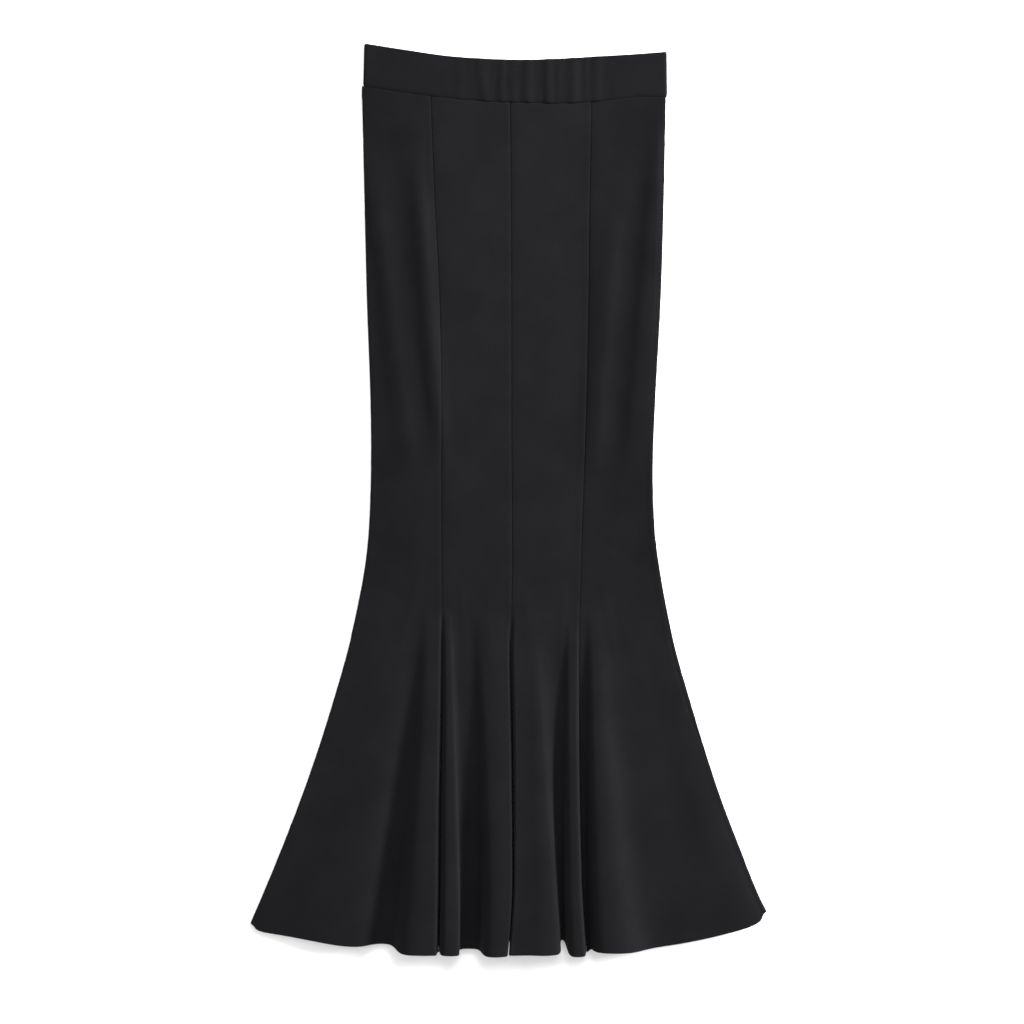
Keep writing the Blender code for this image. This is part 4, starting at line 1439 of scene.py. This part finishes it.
@dataclass
class Waistband:
    """The elastic waistband: doubled knit over elastic, folded along its top and softly gathered."""

    form: SkirtForm
    left: tuple[float, float] = (-152.3, -151.3)     # outer edge at the seam and at the top
    right: tuple[float, float] = (166.5, 166.1)
    front_columns: int = 420
    back_columns: int = 140
    turn_steps: int = 8
    rows: int = 34
    corner: float = 1.25       # radius of the folded top edge
    corner_steps: int = 5
    seam_reach: float = 5.0    # the band rolls down to its seam over this width
    seam_drop: float = 1.1
    seam_clear: float = 0.06   # half of the gap left between the band and the gores
    seam_rows: Distances = (0.0, 0.1, 0.25, 0.5, 0.9, 1.4, 2.1, 3.0, 4.0)     # distances from the seam
    ripple: float = 0.10       # height of the fine ripples between the gathers
    ripple_middle: float = 22.0
    ripple_half: float = 62.0
    ripple_least: float = 0.18     # share of their height at the sides
    ripple_slant: float = 5.0      # how far they lean from the seam to the top
    ripples: tuple[Wave, ...] = (
        Wave(1.0, 2.15, 0.0, 1.0), Wave(0.8, 1.37, 1.1, -1.6), Wave(0.7, 3.3, 2.0, 0.4, 0.6))
    unevenness: Wave = Wave(0.5, 17.0, 0.8, 2.6)
    elastic_edge: float = 9.5  # the elastic's upper edge shows this far below the fold
    elastic_sway: Wave = Wave(0.5, 23.0, 0.0)
    elastic_groove: float = 0.20
    grooves: tuple[Groove, ...] = (Groove(1.0, 0.0, 1.3), Groove(0.55, 5.2, 1.2), Groove(0.3, 10.6, 1.3))
    name: str = "waistband"

    @property
    def depth(self) -> float:
        """Depth of the band at the middle."""
        return float(self.form.top_y(0.0) - self.form.seam_y(0.0))

    def gathers(self, x: np.ndarray, share: float) -> np.ndarray:
        """Height of the gathers in the front, with the ripples and the elastic's grooves between them.

        Args:
            x: places across.
            share: 0 at the seam to 1 at the top.

        Returns:
            The height at each place.
        """
        soft = sum(g.height * bump(x - g.x - g.lean * (share - 0.5), g.half_width) for g in GATHERS)
        slant = self.ripple_slant * (share - 0.5)
        waves = sum(wave.height * np.sin((x + wave.lean * slant) / wave.length + wave.phase)
                    * (1.0 - wave.lost + wave.lost * share) for wave in self.ripples)
        slow = self.unevenness
        swing = np.sin(x / slow.length + slow.lean * share + slow.phase)
        uneven = 1.0 - slow.height + slow.height * swing
        reach = mix(self.ripple_least, 1.0, bump(x - self.ripple_middle, self.ripple_half))
        sway = self.elastic_sway.height * np.sin(x / self.elastic_sway.length)
        below = (1.0 - share) * self.depth - self.elastic_edge - sway
        groove = sum(line.depth * bump(below - line.below, line.half_width) for line in self.grooves)
        return soft + self.ripple * waves * uneven * reach - self.elastic_groove * groove * reach

    def ring(self, share: float) -> tuple[np.ndarray, np.ndarray, np.ndarray]:
        """Closed row round the flattened band.

        Args:
            share: 0 at the seam to 1 at the top.

        Returns:
            Places, outward directions and the run along the row.
        """
        turn = (self.form.band_wall + self.form.band_gap) / 2
        centre_z = self.form.band_wall / 2 + turn
        left = mix(*self.left, share) + self.form.band_wall / 2 + turn
        right = mix(*self.right, share) - self.form.band_wall / 2 - turn
        front_x = np.linspace(left, right, self.front_columns + 1)
        back_x = np.linspace(right, left, self.back_columns + 1)
        angles = math.pi / 2 - math.pi * np.arange(1, self.turn_steps) / self.turn_steps
        reach = turn * np.cos(angles)
        rise = turn * np.sin(angles)
        x = np.concatenate((front_x, right + reach, back_x, left - reach))
        z = np.concatenate((centre_z + turn + self.gathers(front_x, share), centre_z + rise,
                            np.full(len(back_x), centre_z - turn), centre_z - rise))
        y = mix(self.form.seam_y(x) + self.seam_clear, self.form.top_y(x), share)
        place = np.stack((x, y, z), axis=-1)
        flat = place * (1.0, 0.0, 1.0)
        after = unit(np.roll(flat, -1, axis=0) - flat)
        before = unit(flat - np.roll(flat, 1, axis=0))
        across = unit(after + before)
        normal = np.stack((-across[:, 2], np.zeros(len(x)), across[:, 0]), axis=-1)
        run = np.cumsum(np.linalg.norm(np.diff(flat, axis=0, prepend=flat[:1]), axis=1))
        return place, normal, run

    def build(self, finish: bpy.types.Material) -> bpy.types.Object:
        """Make the band as a closed ring, and put it in place of its solid.

        Args:
            finish: the knit.

        Returns:
            The piece.
        """
        height = self.depth
        half = self.form.band_wall / 2
        angles = np.linspace(0.0, math.pi / 2, self.corner_steps + 1)
        top = 1.0 - self.corner * (1.0 - np.sin(angles)) / height
        low = np.array(self.seam_rows) / height
        plain = np.linspace(self.seam_reach / height, top[0], self.rows)[:-1]
        shares = np.concatenate((low, plain, top))
        offsets = np.full(len(shares), half)
        near = 1.0 - low * height / self.seam_reach
        offsets[:len(low)] -= self.seam_drop * (1.0 - np.sqrt(1.0 - near**2))
        offsets[-len(top):] = half - self.corner + self.corner * np.cos(angles)
        vertices, uvs = [], []
        for sign in (1.0, -1.0):
            for share, offset in zip(shares[::int(sign)], offsets[::int(sign)]):
                place, normal, run = self.ring(share)
                vertices.append(place + normal * offset * sign)
                uvs.append(np.stack((run, np.full(len(run), share * height)), axis=-1))
        columns = len(vertices[0])
        faces = grid_faces(len(vertices), columns, wrap_columns=True)
        piece = shell_object(self.name + "_cloth", np.concatenate(vertices), [f[::-1] for f in faces],
                             np.concatenate(uvs), finish)
        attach(piece, "root")
        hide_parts(self.name)
        return piece


@dataclass(frozen=True)
class SoftBox:
    """A large soft light that looks at the middle of the skirt.

    Its width runs along the skirt, and its length runs up and down at right angles to its beam.
    """

    name: str
    place_m: tuple[float, float, float]
    width_m: float
    length_m: float
    watts: float

    def build(self) -> bpy.types.Object:
        """Make the light.

        Returns:
            The light, which the camera itself doesn't see.
        """
        lamp = bpy.data.lights.new(self.name, "AREA")
        lamp.shape = "RECTANGLE"
        lamp.size = self.width_m
        lamp.size_y = self.length_m
        lamp.energy = self.watts
        light = bpy.data.objects.new(self.name, lamp)
        light.location = self.place_m
        light.rotation_mode = "QUATERNION"
        light.rotation_quaternion = (-Vector(self.place_m)).to_track_quat("-Z", "Y")
        light.visible_camera = False
        bpy.context.scene.collection.objects.link(light)
        return light


@dataclass
class Studio:
    """Floor, soft lights and the camera straight above the skirt."""

    floor_half_m: float = 6.0
    floor_z_m: float = -0.0002     # just below the cloth, so that the two don't share a plane
    sky: float = 0.99          # strength of the even light all round
    lights: tuple[SoftBox, ...] = (
        SoftBox("key_softbox", (2.5, 0.9, 1.02), 1.8, 0.45, 245.0),
        SoftBox("waist_softbox", (0.3, 1.9, 1.4), 1.6, 0.8, 48.0),
    )
    camera_m: tuple[float, float, float] = (0.00373, -0.01397, 2.5)
    view_width_m: float = 1.0752
    sensor: float = 36.0

    def floor(self) -> bpy.types.Object:
        """Make the plain paper floor.

        Returns:
            The floor.
        """
        half = self.floor_half_m / MM
        corners = np.array(((-half, -half), (half, -half), (half, half), (-half, half)))
        vertices = np.column_stack((corners, np.full(4, self.floor_z_m / MM)))
        made = shell_object("studio_floor", vertices, [(0, 1, 2, 3)], corners, PAPER.material())
        return made

    def camera(self) -> bpy.types.Object:
        """Make the camera, which looks straight down with the waist at the top.

        Returns:
            The camera.
        """
        lens = bpy.data.cameras.new("camera")
        lens.sensor_width = self.sensor
        lens.lens = self.sensor * self.camera_m[2] / self.view_width_m
        camera = bpy.data.objects.new("camera", lens)
        camera.location = self.camera_m
        bpy.context.scene.collection.objects.link(camera)
        bpy.context.scene.camera = camera
        return camera

    def build(self) -> None:
        """Set up the floor, the lights, the even light all round and the camera."""
        self.floor()
        for light in self.lights:
            light.build()
        world = bpy.data.worlds.new("studio_air")
        world.use_nodes = True
        world.node_tree.nodes["Background"].inputs["Color"].default_value = (1.0, 1.0, 1.0, 1.0)
        world.node_tree.nodes["Background"].inputs["Strength"].default_value = self.sky
        bpy.context.scene.world = world
        bpy.context.scene.view_settings.view_transform = "Standard"
        self.camera()


def main() -> None:
    """Build the studio and every piece of the skirt."""
    logging.basicConfig(level=logging.INFO, format="%(message)s")
    Studio().build()
    form = SkirtForm()
    finishes = {
        Face.FRONT: PonteKnit("ponte_jersey_front").material(),
        Face.BACK: PonteKnit("ponte_jersey_back", dye="#0d0d0f", cloud=58.0).material(),
    }
    sewing = {
        "seam": Sewing("seam_stitches", pitch=2.6, length=2.1, stand=0.04),
        "overlock": Sewing("overlock_stitches", pitch=2.2, length=3.4, stand=0.05, slant=1.15, arch=0.22),
        "blind": Sewing("blind_hem_stitches", pitch=6.0, length=0.9, stand=0.01, thread=0.2,
                        slant=math.pi / 2, arch=0.04),
    }
    for name in GORE_ORDER:
        gore = Gore(name, form, ShellProfile(), SeamLook(), sewing)
        gore.build(finishes[gore.face])
    # painted shade: the band's knit is the front's with a darker worn colour, to offset the waist light
    # that falls on it; its sides also carry painted shade
    shaded_band_knit = PonteKnit(
        "ponte_jersey_over_elastic", worn="#151517", roughness=0.6, cloud=30.0, painted_side_shade=0.12)
    Waistband(form).build(shaded_band_knit.material())
    thread = THREAD.material()
    for stitches in sewing.values():
        stitches.build(thread)


if __name__ == "__main__":
    main()
